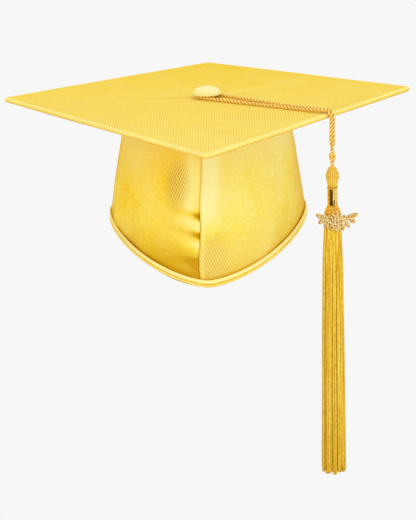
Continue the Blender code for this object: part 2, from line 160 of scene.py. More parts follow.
class Finish:
    """A node material in the making. Most methods add a node and give its output."""

    def __init__(self, name, roughness, metallic=0.0, **sockets):
        self.material = bpy.data.materials.new(name)
        self.material.use_nodes = True
        self.tree = self.material.node_tree
        self.shader = self.tree.nodes["Principled BSDF"]
        self.colour = None
        for socket, value in dict(sockets, Roughness=roughness, Metallic=metallic).items():
            self.shader.inputs[socket.replace("_", " ")].default_value = value

    def node(self, kind, inputs=(), **settings):
        return add_node(self.tree, kind, inputs, **settings)

    def cloth_place(self):
        """The piece's flat cloth coordinates, in metres."""
        return self.node("ShaderNodeTexCoord").outputs["UV"]

    def place(self):
        return self.node("ShaderNodeTexCoord").outputs["Object"]

    def mapped(self, place, **how):
        return self.node("ShaderNodeMapping", {"Vector": place, **how}).outputs["Vector"]

    def turned(self, place, degrees):
        return self.mapped(place, Rotation=(0, 0, radians(degrees)))

    def along(self, place, axis):
        return self.node("ShaderNodeSeparateXYZ", {"Vector": place}).outputs[axis]

    def attribute(self, name):
        return self.node("ShaderNodeAttribute", attribute_name=name).outputs["Fac"]

    def noise(self, place, size, detail=3.0, rough=0.5):
        """Soft noise whose blotches are about this size in metres."""
        return self.node("ShaderNodeTexNoise", {"Vector": place, "Scale": 1 / size,
                         "Detail": detail, "Roughness": rough}).outputs["Fac"]

    def lines(self, place, pitch, distortion=0.0):
        """Lines across the X direction, a pitch apart in metres."""
        return self.node("ShaderNodeTexWave", {"Vector": place, "Scale": pi / (10 * pitch),
                         "Distortion": distortion, "Detail": 1.0},
                         wave_type="BANDS", bands_direction="X").outputs["Fac"]

    def maths(self, operation, first, second):
        return self.node("ShaderNodeMath", {0: first, 1: second}, operation=operation).outputs[0]

    def times(self, first, *others):
        for other in others:
            first = self.maths("MULTIPLY", first, other)
        return first

    def span(self, value, low, high, to_low=0.0, to_high=1.0):
        return self.node("ShaderNodeMapRange", {"Value": value, "From Min": low,
                         "From Max": high, "To Min": to_low, "To Max": to_high}).outputs[0]

    def mix(self, share, first, second):
        """A colour between two others."""
        return self.node("ShaderNodeMix", {0: share, 6: as_light(first), 7: as_light(second)},
                         data_type="RGBA").outputs[2]

    def tint(self, colour, share, *span):
        """Draw the colour so far towards another, by a share or by a value over a span."""
        self.colour = self.mix(self.span(share, *span) if span else share, self.colour, colour)

    def spot(self, place, middle, reach):
        """1 at a place on the cloth, falling to 0 at this reach across and up."""
        there = self.mapped(place, Scale=(1 / reach[0], 1 / reach[1], 0),
                            Location=(-middle[0] / reach[0], -middle[1] / reach[1], 0))
        away = self.node("ShaderNodeVectorMath", {0: there}, operation="LENGTH")
        return self.span(away.outputs["Value"], 1.0, 0.35)

    def bump(self, height, distance, strength=1.0, under=None):
        inputs = {"Height": height, "Distance": distance, "Strength": strength}
        if under:
            inputs["Normal"] = under
        return self.node("ShaderNodeBump", inputs).outputs["Normal"]

    def done(self, socket="Base Color", **others):
        """Join the colour and any other outputs to the shader's sockets."""
        for key, value in {socket: self.colour, **others}.items():
            self.tree.links.new(value, self.shader.inputs[key])
        return self.material


def satin(name, deep, middle, pale, turn=0.0, share=0.35, roughness=0.42, calm=0.6,
          lines_where=(0.46, 0.62), painted_front_sheen=False, grain=0.06, spots=(), weft_share=0.12):
    """Woven satin: soft blotches of sheen, patches where the warp shows as fine lines, a fine
    slanted twill, painted shade down in the folds and painted sheen on their crests. The painted
    front sheen makes the cloth paler and its lines clearer towards the front. With spots, each of
    them a middle, a reach and a strength, the lines show there and hardly anywhere else."""
    warp_pitch, weft_pitch, twill_pitch = 0.0021, 0.0025, 0.00055
    made = Finish(name, roughness, IOR=1.04)
    cloth = made.cloth_place()
    blotch = made.noise(cloth, 0.034, 4.0, 0.55)
    small = made.noise(cloth, 0.0065, 3.0, 0.6)
    tone = made.maths("ADD", made.span(blotch, 0.30, 0.70, 0.0, calm),
                      made.span(small, 0.3, 0.7, -0.10 * calm, 0.25 * calm))
    # Painted sheen: the cloth paler towards the front.
    if painted_front_sheen:
        along = made.along(cloth, "Y")
        tone = made.maths("ADD", tone, made.span(along, 0.15, -0.16, 0.0, 0.40))
    made.colour = made.mix(made.span(tone, 0.0, 1.0), middle, pale)
    crinkle = made.noise(cloth, 0.0030, 2.0, 0.6)
    made.tint(deep, crinkle, 0.50, 0.32, 0.0, grain)
    made.tint(pale, crinkle, 0.50, 0.68, 0.0, grain * 2.2)
    # Painted shade where this attribute is above 0, painted sheen where it is below 0.
    painted_shading = made.attribute("painted_shading")
    made.tint(deep, painted_shading, 0.0, 1.0, 0.0, 0.92)
    made.tint(pale, painted_shading, -1.0, 0.0, 0.90, 0.0)
    patch = made.span(made.noise(cloth, 0.030, 1.0), *lines_where)
    # The painted front sheen also lets the lines show clearer towards the front.
    if painted_front_sheen:
        patch = made.times(patch, made.span(along, 0.030, -0.045, 0.25, 1.0))
    if spots:
        patch = made.times(patch, 0.15)
        for centre, reach, strength in spots:
            there = made.times(made.spot(cloth, centre, reach), strength)
            patch = made.maths("MAXIMUM", patch, there)
    warp_lines = made.lines(made.turned(cloth, turn), warp_pitch, 0.6)
    weft_lines = made.lines(made.turned(cloth, turn + 63), weft_pitch, 0.8)
    made.tint(pale, made.times(warp_lines, patch, share * 0.55))
    made.tint(deep, made.times(made.span(warp_lines, 0.6, 0.0), patch, share * 0.85))
    made.tint(deep, made.times(weft_lines, patch, share * weft_share))
    normal = made.bump(made.lines(made.turned(cloth, turn + 27), twill_pitch), 0.00003, 0.5)
    normal = made.bump(warp_lines, 0.00008, 0.4, normal)
    normal = made.bump(small, 0.0004, 0.25, normal)
    shine = made.span(blotch, 0.3, 0.7, roughness + 0.08, roughness - 0.06)
    return made.done(Normal=normal, Roughness=shine)


def twisted(name, deep_and_groove_shade, middle, ridge, bands=(0.20, 0.50, 0.62, 0.92), streaks=False):
    """Twisted rayon: painted highlights on the ridges, painted shade in the grooves, and fine
    filaments along them. Streaks make hanging threads tufted, some of them paler than
    others, and all deeper towards their ends."""
    made = Finish(name, 0.45, IOR=1.35)
    cloth = made.cloth_place()
    high = made.attribute("ridge")
    vary = made.noise(cloth, 0.004, 3.0)
    # Painted shade in the grooves between the plies, painted highlights along their ridges.
    made.colour = made.mix(made.span(high, *bands[:2]), deep_and_groove_shade, middle)
    made.tint(ridge, made.times(made.span(high, *bands[2:]), made.span(vary, 0.30, 0.62, 0.45)))
    if streaks:
        place = made.place()
        streak = made.noise(made.mapped(place, Scale=(1, 1, 0.012)), 0.0012, 1.0)
        made.tint(deep_and_groove_shade, streak, 0.48, 0.36, 0.0, 0.75)
        made.tint(ridge, streak, 0.48, 0.60, 0.0, 0.9)
        height = made.along(place, "Z")
        made.tint(deep_and_groove_shade, height, 0.0, -0.21, 0.0, 0.42)
        made.tint(deep_and_groove_shade, height, -0.192, -0.209, 0.0, 0.40)
        tuft = made.noise(made.mapped(place, Scale=(1, 1, 0.45)), 0.0017, 2.0)
        made.tint(deep_and_groove_shade, tuft, 0.52, 0.34, 0.0, 0.42)
        made.tint(ridge, tuft, 0.52, 0.70, 0.0, 0.40)
    filament = made.lines(made.turned(cloth, 28), 0.00022, 1.5)
    made.tint(middle, made.times(filament, 0.15))
    return made.done(Normal=made.bump(filament, 0.00004, 0.8))


def metal(name, dark, bright, roughness):
    """Plated metal with faint wear and fine scratches."""
    grain = 0.0009
    made = Finish(name, roughness, 1.0)
    place = made.place()
    wear = made.noise(place, grain * 3, 4.0, 0.6)
    scratch = made.noise(made.mapped(place, Scale=(1, 1, 0.12)), grain, 2.0)
    made.colour = made.mix(made.span(wear, 0.3, 0.7), dark, bright)
    return made.done(Normal=made.bump(scratch, 0.00006, 0.4), Roughness=made.span(
        scratch, 0.3, 0.7, roughness - 0.06, roughness + 0.10))


def felt(name, low, high, size, dots=None):
    """A pressed fibre web or board; dots is the pitch of its melted glue points."""
    made = Finish(name, 0.9)
    fibre = made.noise(made.place(), size, 6.0, 0.75)
    made.colour = made.mix(made.span(fibre, 0.35, 0.65), low, high)
    normal = made.bump(fibre, 0.0002, 0.6)
    if dots:
        cells = made.node("ShaderNodeTexVoronoi", {"Vector": made.cloth_place(),
                          "Scale": 1 / dots, "Randomness": 0.0}).outputs["Distance"]
        point = made.span(cells, 0.18, 0.30, 1.0, 0.0)
        made.tint(low, made.times(point, 0.5))
        normal = made.bump(point, 0.0001, 0.6, normal)
    return made.done(Normal=normal)


def knit(name, low, high, pitch):
    """Ribbed knit: rounded ribs with a fine loop row across them."""
    made = Finish(name, 0.8, Sheen_Weight=0.4)
    cloth = made.cloth_place()
    rib = made.lines(cloth, pitch)
    loop = made.lines(made.turned(cloth, 90), pitch * 0.7, 1.0)
    # Painted shade between the ribs, paler on their crests.
    made.colour = made.mix(made.span(rib, 0.1, 0.7), low, high)
    made.tint(low, made.times(made.noise(cloth, 0.004, 4.0), 0.4))
    return made.done(Normal=made.bump(loop, 0.0001, 0.6, made.bump(rib, 0.0003, 0.7)))


def glitter(name, brown, gold, painted_glint):
    """A gilt casting with a glittered face: small grains that each catch the light apart, the
    brightest of them painted as glints, and painted light and shade on the rims.
    """
    made = Finish(name, 0.34, 0.15)
    cells = made.node("ShaderNodeTexVoronoi", {"Vector": made.place(), "Scale": 1 / 0.00062})
    grain = made.node("ShaderNodeSeparateColor", {"Color": cells.outputs["Color"]}).outputs[0]
    made.colour = made.mix(made.span(grain, 0.05, 0.6), brown, gold)
    # Painted glints on the brightest grains.
    made.tint(painted_glint, grain, 0.62, 0.80)
    # Painted highlights where the rim value is above 0, painted shade where it is below 0.
    rim = made.attribute("painted_shading")
    made.tint(painted_glint, rim, 0.1, 0.8, 0.0, 0.85)
    made.tint(brown, rim, -0.1, -1.0, 0.0, 0.8)
    return made.done(Normal=made.bump(grain, 0.00035, 0.8),
                     Roughness=made.span(grain, 0.0, 1.0, 0.22, 0.50))


def moulded(name, low, high, roughness, size):
    """Moulded plastic with a fine mottled skin."""
    made = Finish(name, roughness)
    skin = made.noise(made.place(), size, 4.0)
    made.colour = made.mix(made.span(skin, 0.3, 0.7), low, high)
    return made.done(Normal=made.bump(skin, 0.0001, 0.4))


BOARD = satin("board_satin_look", (232, 164, 16), (246, 207, 36), (255, 244, 152),
              share=0.40, calm=0.12, lines_where=(0.30, 0.62), painted_front_sheen=True)
# The underside is the top's satin in a deeper copy, painted as the shaded side.
BOARD_UNDER = satin("board_under_look", (214, 140, 0), (244, 192, 40), (250, 216, 92), 45, 0.2)
# The front panels are one satin in two copies: the left painted deeper as the shaded side, the
# right painted paler as the lit side.
SKULL_LEFT = satin("skull_left_look", (204, 148, 0), (254, 212, 24), (255, 242, 146), 26, 0.60,
                   calm=0.32, lines_where=(0.44, 0.72), grain=0.11,
                   spots=[((-0.0262, 0.050), (0.0135, 0.026), 1.9)])
SKULL_RIGHT = satin("skull_right_look", (226, 172, 12), (247, 223, 76), (255, 251, 180), -24,
                    0.36, calm=0.38, lines_where=(0.40, 0.72), grain=0.09, weft_share=0.45,
                    spots=[((0.002, 0.052), (0.016, 0.030), 0.45),
                           ((0.004, -0.012), (0.018, 0.022), 2.0)])
SKULL_BACK = satin("skull_back_look", (204, 144, 8), (246, 198, 44), (253, 230, 112), 12, 0.3)
LINING = satin("crown_lining_look", (204, 140, 10), (240, 186, 44), (250, 216, 98), 20, 0.3,
               0.5)
BINDING = satin("binding_look", (212, 150, 0), (249, 210, 56), (255, 244, 160), 70, 0.15, 0.36,
                0.4)
BUTTON = satin("button_look", (236, 176, 34), (252, 232, 124), (255, 249, 190), 0, 0.25, 0.4)
ROPE = twisted("rope_look", (190, 112, 0), (252, 184, 4), (255, 246, 160),
               (0.15, 0.50, 0.62, 0.88))
ROPE_SOFT = twisted("turnover_look", (190, 118, 6), (248, 184, 28), (255, 220, 104))
STRAND = twisted("strand_look", (206, 150, 4), (250, 198, 26), (255, 232, 92),
                 (0.20, 0.50, 1.1, 1.2), streaks=True)
BULB = twisted("bulb_look", (160, 92, 0), (246, 196, 30), (255, 236, 126))
THREAD = twisted("thread_look", (196, 128, 6), (248, 200, 50), (255, 240, 158))
GILT = metal("gilt_look", (226, 168, 44), (255, 232, 140), 0.20)
CHARM_GILT = glitter("charm_look", (186, 112, 10), (248, 196, 70), (255, 244, 190))
NICKEL = metal("nickel_look", (150, 148, 146), (214, 212, 208), 0.30)
STIFF_BOARD = felt("stiffener_look", (120, 112, 96), (168, 158, 138), 0.0012)
FUSED_WEB = felt("interlining_look", (214, 206, 190), (244, 240, 230), 0.0009, 0.0022)
RIB_KNIT = knit("sweatband_look", (190, 124, 14), (240, 184, 54), RIB_PITCH)
WEBBING = knit("elastic_look", (190, 186, 176), (240, 238, 230), 0.0012)
SHELL = moulded("shell_look", (196, 190, 176), (226, 222, 210), 0.45, 0.0015)


# ---------------------------------------------------------------- meshes

def placed(name, data):
    """A new object in the scene."""
    thing = bpy.data.objects.new(name, data)
    bpy.context.scene.collection.objects.link(thing)
    return thing


class Shape:
    """Vertices, faces, cloth coordinates and one value a vertex, for one mesh object."""

    def __init__(self):
        self.points, self.faces, self.places, self.values = [], [], [], []

    def grid(self, rows, values=None, places=None, ring=False, tube=False):
        """Join rows of points. A ring joins each row's ends, a tube joins the last row to
        the first. Rows that run down and to the left-hand turn face outwards."""
        start, wide, tall = len(self.points), len(rows[0]), len(rows)
        for i, row in enumerate(rows):
            self.points += [Vector(p) for p in row]
            self.values += values[i] if values else [0.0] * wide
            self.places += places[i] if places else [(p[0], p[1]) for p in row]
        for i in range(tall if tube else tall - 1):
            top, low = start + i * wide, start + (i + 1) % tall * wide
            for j in range(wide if ring else wide - 1):
                k = (j + 1) % wide
                self.faces.append((top + j, low + j, low + k, top + k))
        return start

    def surface(self, tall, wide, at, **join):
        """A grid whose at(i, j) gives a point, its value and its place on the flat cloth."""
        cells = [[at(i, j) for j in range(wide)] for i in range(tall)]
        return self.grid(*([[cell[k] for cell in row] for row in cells] for k in range(3)), **join)

    def cap(self, start, count, flip=False):
        """Close a ring of points with a fan round its middle."""
        ring = range(start, start + count)
        self.points.append(sum((self.points[i] for i in ring), Vector()) / count)
        self.values.append(self.values[start])
        self.places.append(self.places[start])
        last = len(self.points) - 1
        for j in range(count):
            a, b = start + j, start + (j + 1) % count
            self.faces.append((b, a, last) if flip else (a, b, last))

    def close(self, start, tall, wide):
        """Cap the first and the last ring of a grid."""
        self.cap(start, wide)
        self.cap(start + (tall - 1) * wide, wide, flip=True)

    def piece(self, name, finish, body, slot, nodes=(), value="painted_shading", cloth=0.0):
        """Make the object, let it ride on a body and stand for CAD nodes. value names the
        attribute that holds the values; cloth is how thick the surface is made, inwards."""
        mesh = bpy.data.meshes.new(name)
        mesh.from_pydata(self.points, [], self.faces)
        layer = mesh.uv_layers.new(name="cloth")
        for loop in mesh.loops:
            layer.data[loop.index].uv = self.places[loop.vertex_index]
        mesh.attributes.new(value, "FLOAT", "POINT").data.foreach_set("value", self.values)
        mesh.shade_smooth()
        mesh.materials.append(finish)
        thing = placed(name, mesh)
        if cloth:
            thick = thing.modifiers.new("cloth", "SOLIDIFY")
            thick.thickness = cloth
            thick.offset = -1
        if body:
            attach(thing, body)
        if nodes:
            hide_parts(*nodes)
        return thing


def clamp(value):
    """The value, kept from 0 to 1."""
    return min(1.0, max(0.0, value))


def bell(value, width):
    """1 at 0, falling smoothly to almost nothing at twice the width."""
    return exp(-(value / width) ** 2)


def soft(x, y, z=0.0):
    """Smooth noise from -1 to 1."""
    return noise.noise(Vector((x, y, z + 0.37)))


def length_of(line):
    return sum((b - a).length for a, b in zip(line, line[1:]))


def smooth_line(knots, spacing):
    """Points a steady distance apart on a Catmull-Rom curve through the knots."""
    knots = [Vector(k) for k in knots]
    ends = [2 * knots[0] - knots[1], *knots, 2 * knots[-1] - knots[-2]]
    fine = []
    for a, b, c, d in zip(ends, ends[1:], ends[2:], ends[3:]):
        for i in range(24):
            t = i / 24
            fine.append(0.5 * (2 * b + (c - a) * t + (2 * a - 5 * b + 4 * c - d) * t ** 2
                               + (3 * b - a - 3 * c + d) * t ** 3))
    fine.append(knots[-1])
    length = length_of(fine)
    count = max(2, round(length / spacing))
    line, walked, target = [fine[0]], 0.0, length / count
    for a, b in zip(fine, fine[1:]):
        step = (b - a).length
        while step > 0 and walked + step >= target * len(line) - 1e-9 and len(line) < count:
            line.append(a.lerp(b, (target * len(line) - walked) / step))
        walked += step
    return line + [fine[-1]]


def frames(line):
    """Two directions across the line at each point, carried along it without twist."""
    across, result = None, []
    for i in range(len(line)):
        ahead = (line[min(i + 1, len(line) - 1)] - line[max(i - 1, 0)]).normalized()
        if across is None:
            across = ahead.orthogonal().normalized()
        across = (across - ahead * across.dot(ahead)).normalized()
        result.append((across, ahead.cross(across)))
    return result


def strand(shape, line, radius, lobes=0, pitch=0.01, sides=10, deep=0.0, phase=0.0):
    """Add a closed tube along a line, of twisted plies where it has lobes. radius is a number
    or a function of the share of the length."""
    size = radius if callable(radius) else lambda share: radius
    directions = frames(line)
    walked = [0.0]
    for a, b in zip(line, line[1:]):
        walked.append(walked[-1] + (b - a).length)

    def at(i, j):
        across, up = directions[i]
        outer = size(i / (len(line) - 1))
        angle = 2 * pi * (sides - 1 - j) / sides
        twist = phase + 2 * pi * walked[i] / pitch
        high = abs(cos((angle - twist) * lobes / 2)) if lobes else 1.0
        reach = outer * (1 - deep + deep * high)
        return (line[i] + across * cos(angle) * reach + up * sin(angle) * reach, high,
                (angle * outer, walked[i]))

    shape.close(shape.surface(len(line), sides, at, ring=True), len(line), sides)


def revolve(shape, profile, middle, steps, wave=None, value=None, tube=False):
    """Add a (radius, height) profile, from the top down its outer side, turned about Z.
    wave(angle, row) scales the radius, and value(angle, row) gives the vertex value."""
    x, y, z = middle

    def at(i, j):
        radius, height = profile[i]
        angle = 2 * pi * j / steps
        reach = radius * (wave(angle, i) if wave else 1.0)
        return ((x + reach * cos(angle), y + reach * sin(angle), z + height),
                value(angle, i) if value else 0.5, (angle * max(radius, 0.002), height))

    return shape.surface(len(profile), steps, at, ring=True, tube=tube)


def solid_of_turn(shape, profile, middle, steps, *how):
    """Like revolve, closed at both ends by caps."""
    shape.close(revolve(shape, profile, middle, steps, *how), len(profile), steps)


def ball(radius, angles):
    """The profile of a ball, at angles down from its top."""
    return [(radius * sin(radians(a)), radius * cos(radians(a))) for a in angles]


# ---------------------------------------------------------------- board

def warp(x, y):
    """How far the stiffened square has bent at a place: side corners up, front and back down."""
    return BOARD_WARP * (x * x - y * y) / HALF_DIAGONAL ** 2


def board_outline(inset, side_steps=40, corner_steps=6):
    """The square's outline pulled in by an inset, its corners rounded."""
    corner = max(BOARD_CORNER - inset, 0.0012)
    middle = HALF_DIAGONAL - inset * sqrt(2) - corner * sqrt(2)
    arcs = []
    for k in range(5):
        centre = Vector((middle * cos(k * pi / 2), middle * sin(k * pi / 2)))
        turns = [(k - 0.5 + i / corner_steps) * pi / 2 for i in range(corner_steps + 1)]
        arcs.append([centre + corner * Vector((cos(a), sin(a))) for a in turns])
    outline = []
    for arc, following in zip(arcs, arcs[1:]):
        outline += arc
        outline += [arc[-1].lerp(following[0], i / side_steps) for i in range(1, side_steps)]
    return outline


def button_creases(x, y):
    """Tension lines that the button pulls into the cloth round it."""
    reach, angle = hypot(x, y), atan2(y, x)
    pull = 0.0
    for degrees, width, height, length in ((179, 6, -1.3, 0.020), (193, 6, 0.6, 0.024),
                                           (34, 8, 0.55, 0.050), (20, 6, -0.25, 0.040),
                                           (120, 9, 0.3, 0.030), (250, 9, 0.3, 0.030),
                                           (300, 9, -0.2, 0.026), (70, 8, -0.2, 0.030)):
        turn = (angle - radians(degrees) + pi) % (2 * pi) - pi
        pull += height * bell(turn, radians(width)) * exp(-reach / length)
    return pull * min(1.0, reach / 0.012)


def board_cloth(name, above, node, finish):
    """One face of the board's cover: from the shank hole out to the edge and round it."""
    # Near the edge a ring has an inset, how far it stands proud, and its painted light and shade:
    # shade above 0, highlight below 0.
    if above:
        sign, face, turns, tuck = 1, BOARD_TOP, range(80, -51, -10), (0.42, 0.80)
        lead = [(0.0220, 0, 0), (0.0130, 0, 0), (0.0085, 0.00002, 0), (0.0060, 0.00006, 0.12),
                (0.0046, 0.00014, 0), (0.0034, 0.00022, -0.3), (0.0024, 0.00022, -0.5),
                (BOARD_EDGE, 0.00014, -0.65)]
    else:
        sign, face, turns, tuck = -1, BOARD_BOTTOM, range(-80, -63, -8), (0.62, 0.72)
        lead = [(0.0220, 0, 0), (0.0130, 0, 0), (0.0080, 0, 0), (0.0040, 0.0001, 0.2),
                (BOARD_EDGE, 0, 0.6)]
    middle, half = (BOARD_TOP + BOARD_BOTTOM) / 2, BOARD_THICK / 2
    inner = board_outline(0.0300)
    shares = [SHANK_HOLE / (HALF_DIAGONAL - 0.04)] + [i / 44 for i in range(1, 45)]
    rings = [([p * share for p in inner], 0, 0) for share in shares]
    rings += [(board_outline(inset), lift, light_and_shade_mark) for inset, lift, light_and_shade_mark in lead]
    on_face = len(rings)
    rings += [(board_outline(BOARD_EDGE * (1 - cos(a))), half * sin(a), 0)
              for a in map(radians, turns)]
    rings.append((board_outline(BOARD_EDGE * tuck[0] + 0.0003), -half * tuck[1], 1.0))

    def at(i, j):
        outline, up, painted_shading = rings[i]
        p = outline[j if above else -1 - j]
        z = warp(p.x, p.y)
        if i < on_face:
            wave = 0.00022 * soft(p.x * 17, p.y * 17, sign) + 0.00008 * soft(p.x * 70, p.y * 70)
            crease = button_creases(p.x, p.y) if above else 0.0
            z += face + sign * (up + wave) + 0.00028 * crease
            # Painted highlight on the creases' ridges and painted shade in their troughs.
            painted_shading -= 0.9 * crease
        else:
            ripple = 0.00006 * soft(p.x * 60, p.y * 60, 5) if abs(up) < half * 0.9 else 0
            z += middle + up + ripple
            shade = clamp((0.50 - up / half) / 0.5)
            foot = clamp((-0.40 - up / half) / 0.25)
            # Painted light on the rounded edge: a highlight along its top, shade further down and a
            # painted shadow line at its foot; the underside's edge is painted deeper all round.
            painted_shading += (-0.75 + 0.95 * shade + 0.8 * foot) if above else 0.6
        return (p.x, p.y, z), painted_shading, (p.x, p.y)

    shape = Shape()
    shape.surface(len(rings), len(inner), at, ring=True)
    cloth = shape.piece(name, finish, "cap", "board_satin", [node], cloth=COVER_CLOTH)


def stiff_board():
    """The stiffener inside the cover, bent as the whole square is."""
    inset = COVER_CLOTH + GAP
    inner = board_outline(0.03)
    face = [[p * share for p in inner] for share in (0.016, *(i / 20 for i in range(1, 21)))]
    face += [board_outline(i) for i in (0.015, inset + 0.0012, inset)]
    shape = Shape()
    shape.grid([[(p.x, p.y, height + warp(p.x, p.y)) for p in ring]
                for height, rings in ((BOARD_TOP - inset, face), (BOARD_BOTTOM + inset, face[::-1]))
                for ring in rings], ring=True, tube=True)
    shape.piece("stiff_board", STIFF_BOARD, "cap", "stiffener", ["board_core"])


# ---------------------------------------------------------------- skull cap

def hem_height(phi):
    """Height of the hem at an angle from the front, positive towards +X."""
    side = min(1.0, sqrt(sin(phi) ** 2 + 0.0060))
    if cos(phi) > 0:
        return -FRONT_POINT * (1 - side) * (1 + side / 2)
    return -BACK_DIP * (1 - side)


def skull_point(phi, height, inset=0.0):
    """A point of the skull cap's wall, pulled in from its outer face."""
    down = (SKULL_TOP - height) / SKULL_TOP
    ease = down * (1.5 - 0.5 * down)
    half_x, half_y = (c + (h - c) * ease - inset for c, h in zip(CROWN_HALF, HEM_HALF))
    return Vector((half_x * sin(phi) - LEAN * ease, -half_y * cos(phi), height))


def outward_at(phi):
    """The way out of the skull cap at an angle from the front."""
    return Vector((sin(phi), -cos(phi), 0)).normalized()


def hem_point(phi, up, out):
    """A point at a height above the hem and a distance out from the panel's outer face."""
    return skull_point(phi, hem_height(phi) + up) + outward_at(phi) * out


def stitches(name, angles, up, out, slot):
    """A row of short thread stitches lying on the cloth along the hem."""
    length, gap, radius = 0.0019, 0.0007, 0.00019
    shape = Shape()
    spots = smooth_line([hem_point(phi, up, out) for phi in angles], length + gap)
    for a, b in zip(spots, spots[1:]):
        run = (b - a) * (length / (length + gap))
        rise = outward_at(atan2(a.x, -a.y)) * radius
        knots = [a - rise, a + run * 0.2 + rise * 0.6, a + run * 0.8 + rise * 0.6, a + run - rise]
        strand(shape, smooth_line(knots, run.length / 4), radius, 2, 0.0012, 6, 0.15)
    shape.piece(name, THREAD, "cap", slot, value="ridge")


def middle_seam(height):
    """The angle of the front seam, which is sewn a little left of the hem's point."""
    down = (SKULL_TOP - height) / (SKULL_TOP + FRONT_POINT)
    return -0.052 - 0.040 * down + 0.005 * sin(height * 130)


# Painted shade (above 0) and painted sheen (below 0) on the front cloth: how much, the middle and
# the reach of the place away from the seam, then what is measured up the cloth and its middle and
# reach.
BOTH_PAINTED_SHADING = [(0.55, 0, inf, "foot", BINDING_HEIGHT, 0.0022), (0.55, 0.140, 0.020, "foot", 0, inf)]
LEFT_PAINTED_SHADING = BOTH_PAINTED_SHADING + [
    (-1.40, 0.0095, 0.0085, "height", 0.046, 0.029), (0.40, 0.0255, 0.011, "height", 0.050, 0.020),
    (0.80, 0, 0.007, "height", -0.020, 0.011), (0.90, 0, 0.040, "foot", 0, 0.024),
    (0.45, 0, inf, "foot", 0, 0.016), (-0.20, 0, inf, "under", 0.006, 0.026),
    (-0.10, 0.105, 0.022, "under", 0.016, 0.022), (-0.55, 0.088, 0.034, "under", 0.012, 0.020)]
RIGHT_PAINTED_SHADING = BOTH_PAINTED_SHADING + [
    (-1.25, 0.009, 0.0085, "height", 0.050, 0.029), (0.42, 0.009, 0.014, "height", 0.002, 0.016),
    (0.30, 0, 0.040, "foot", 0, 0.024), (0.45, 0, inf, "foot", 0, 0.022),
    (-0.55, 0, inf, "under", 0.006, 0.026), (-0.40, 0.105, 0.022, "under", 0.016, 0.022)]


def front_folds(phi, height):
    """How far the front cloth stands proud, and its painted shade (above 0) and painted sheen
    (below 0), at a place.
    """
    across = (phi - middle_seam(height)) * HEM_REACH    # from the seam, along the cloth
    right = across > 0
    side, away = (1 if right else -1), abs(across)
    up = {"height": height, "foot": height - hem_height(phi), "under": SKULL_TOP - height}
    # Slack in the cloth, and the roll beside the seam.
    lift = 0.0010 * soft(across * 26, height * 22, side * 3)
    lift += 0.0004 * soft(across * 70, height * 48, side * 5)
    lift *= min(1.0, away / 0.007)
    # Painted sheen where the slack stands proud, painted shade where it sinks.
    painted_shading = -lift / 0.0011 * 0.26
    seam, roll = bell(away, 0.0009), bell(away - 0.0030, 0.0018)
    lift += -0.0003 * seam + 0.00035 * roll
    # Painted shade in the seam's valley, painted sheen on the roll beside it.
    painted_shading += 0.42 * seam - (0.55 if right else 0.15) * roll
    for tint, aside, wide, measure, level, tall in RIGHT_PAINTED_SHADING if right else LEFT_PAINTED_SHADING:
        painted_shading += tint * bell(away - aside, wide) * bell(up[measure] - level, tall)
    if not right:
        # Puckers that run out of the seam, each at a height and of a depth.
        near = exp(-away / 0.0085)
        for level, depth in ((0.0243, 1.0), (0.0090, 0.8), (-0.0130, 0.5)):
            drop = height - level - 0.25 * away
            push = -0.0016 * bell(drop, 0.0026) + 0.0009 * bell(drop + 0.007, 0.004)
            lift += near * depth * push
            # Painted shade in each pucker's hollow, painted sheen on the swell below it.
            painted_shading += near * depth * (2.8 * bell(drop, 0.0030) - 1.7 * bell(drop + 0.0078, 0.0044))
        # Painted light: the left panel paler further from the seam.
        painted_shading -= 0.12 * min(1.0, away / 0.10) ** 2
    return lift * min(1.0, up["under"] / 0.006 + 0.15), painted_shading


def back_folds(phi, height):
    """Gathers that the elastic pulls into the back panel, dying out upwards, with painted sheen on
    their crests and painted shade in their hollows, down the middle seam and just above the casing.
    """
    turn, foot = phi - pi, height - CASING_HEIGHT
    pull = exp(-max(foot, 0.0) / 0.026) * min(1.0, (SIDE_SEAM * 0.714 - abs(turn)) / 0.12 + 0.2)
    wave = sin(turn * 62 + 2.2 * soft(turn * 5, foot * 20)) + 0.5 * sin(turn * 37 + 1.3)
    held = min(1.0, max(0.25, 0.35 + foot / 0.010))
    lift = 0.0011 * pull * wave * held + 0.0008 * soft(turn * 3, height * 22, 9) * held
    seam = bell(abs(turn), 0.012)
    return lift - 0.0004 * seam, -0.45 * pull * wave + 0.6 * seam + 0.25 * bell(foot, 0.004)


def lining_folds(phi, height):
    """The interlining's slight unevenness."""
    return 0.00025 * soft(phi * 5, height * 40, 4) - 0.0004, 0.2 * soft(phi * 8, height * 60, 2)


def cloth_wall(name, start, end, top, above_hem, inset, cloth, finish, slot, node, folds,
               columns, rows, seamed=False):
    """A cloth wall from the board down to a height above the hem, with its folds. A seamed
    wall follows the front seam along its front edge."""
    def at(i, j):
        phi = start + (end - start) * j / columns
        low = hem_height(phi) + above_hem
        height = top + (low - top) * i / rows
        if seamed:
            share = j / columns if start > 0 else 1 - j / columns
            phi += middle_seam(height) * (1 - share)
        lift, painted_shading = folds(phi, height)
        point = skull_point(phi, height, inset) + outward_at(phi) * lift
        point.z += warp(point.x, point.y) * max(0.0, 1 - (top - height) / 0.05)
        return point, painted_shading, (phi * WALL_REACH, height)

    shape = Shape()
    shape.surface(rows + 1, columns + 1, at)
    wall = shape.piece(name, finish, "cap", slot, [node], cloth=cloth)


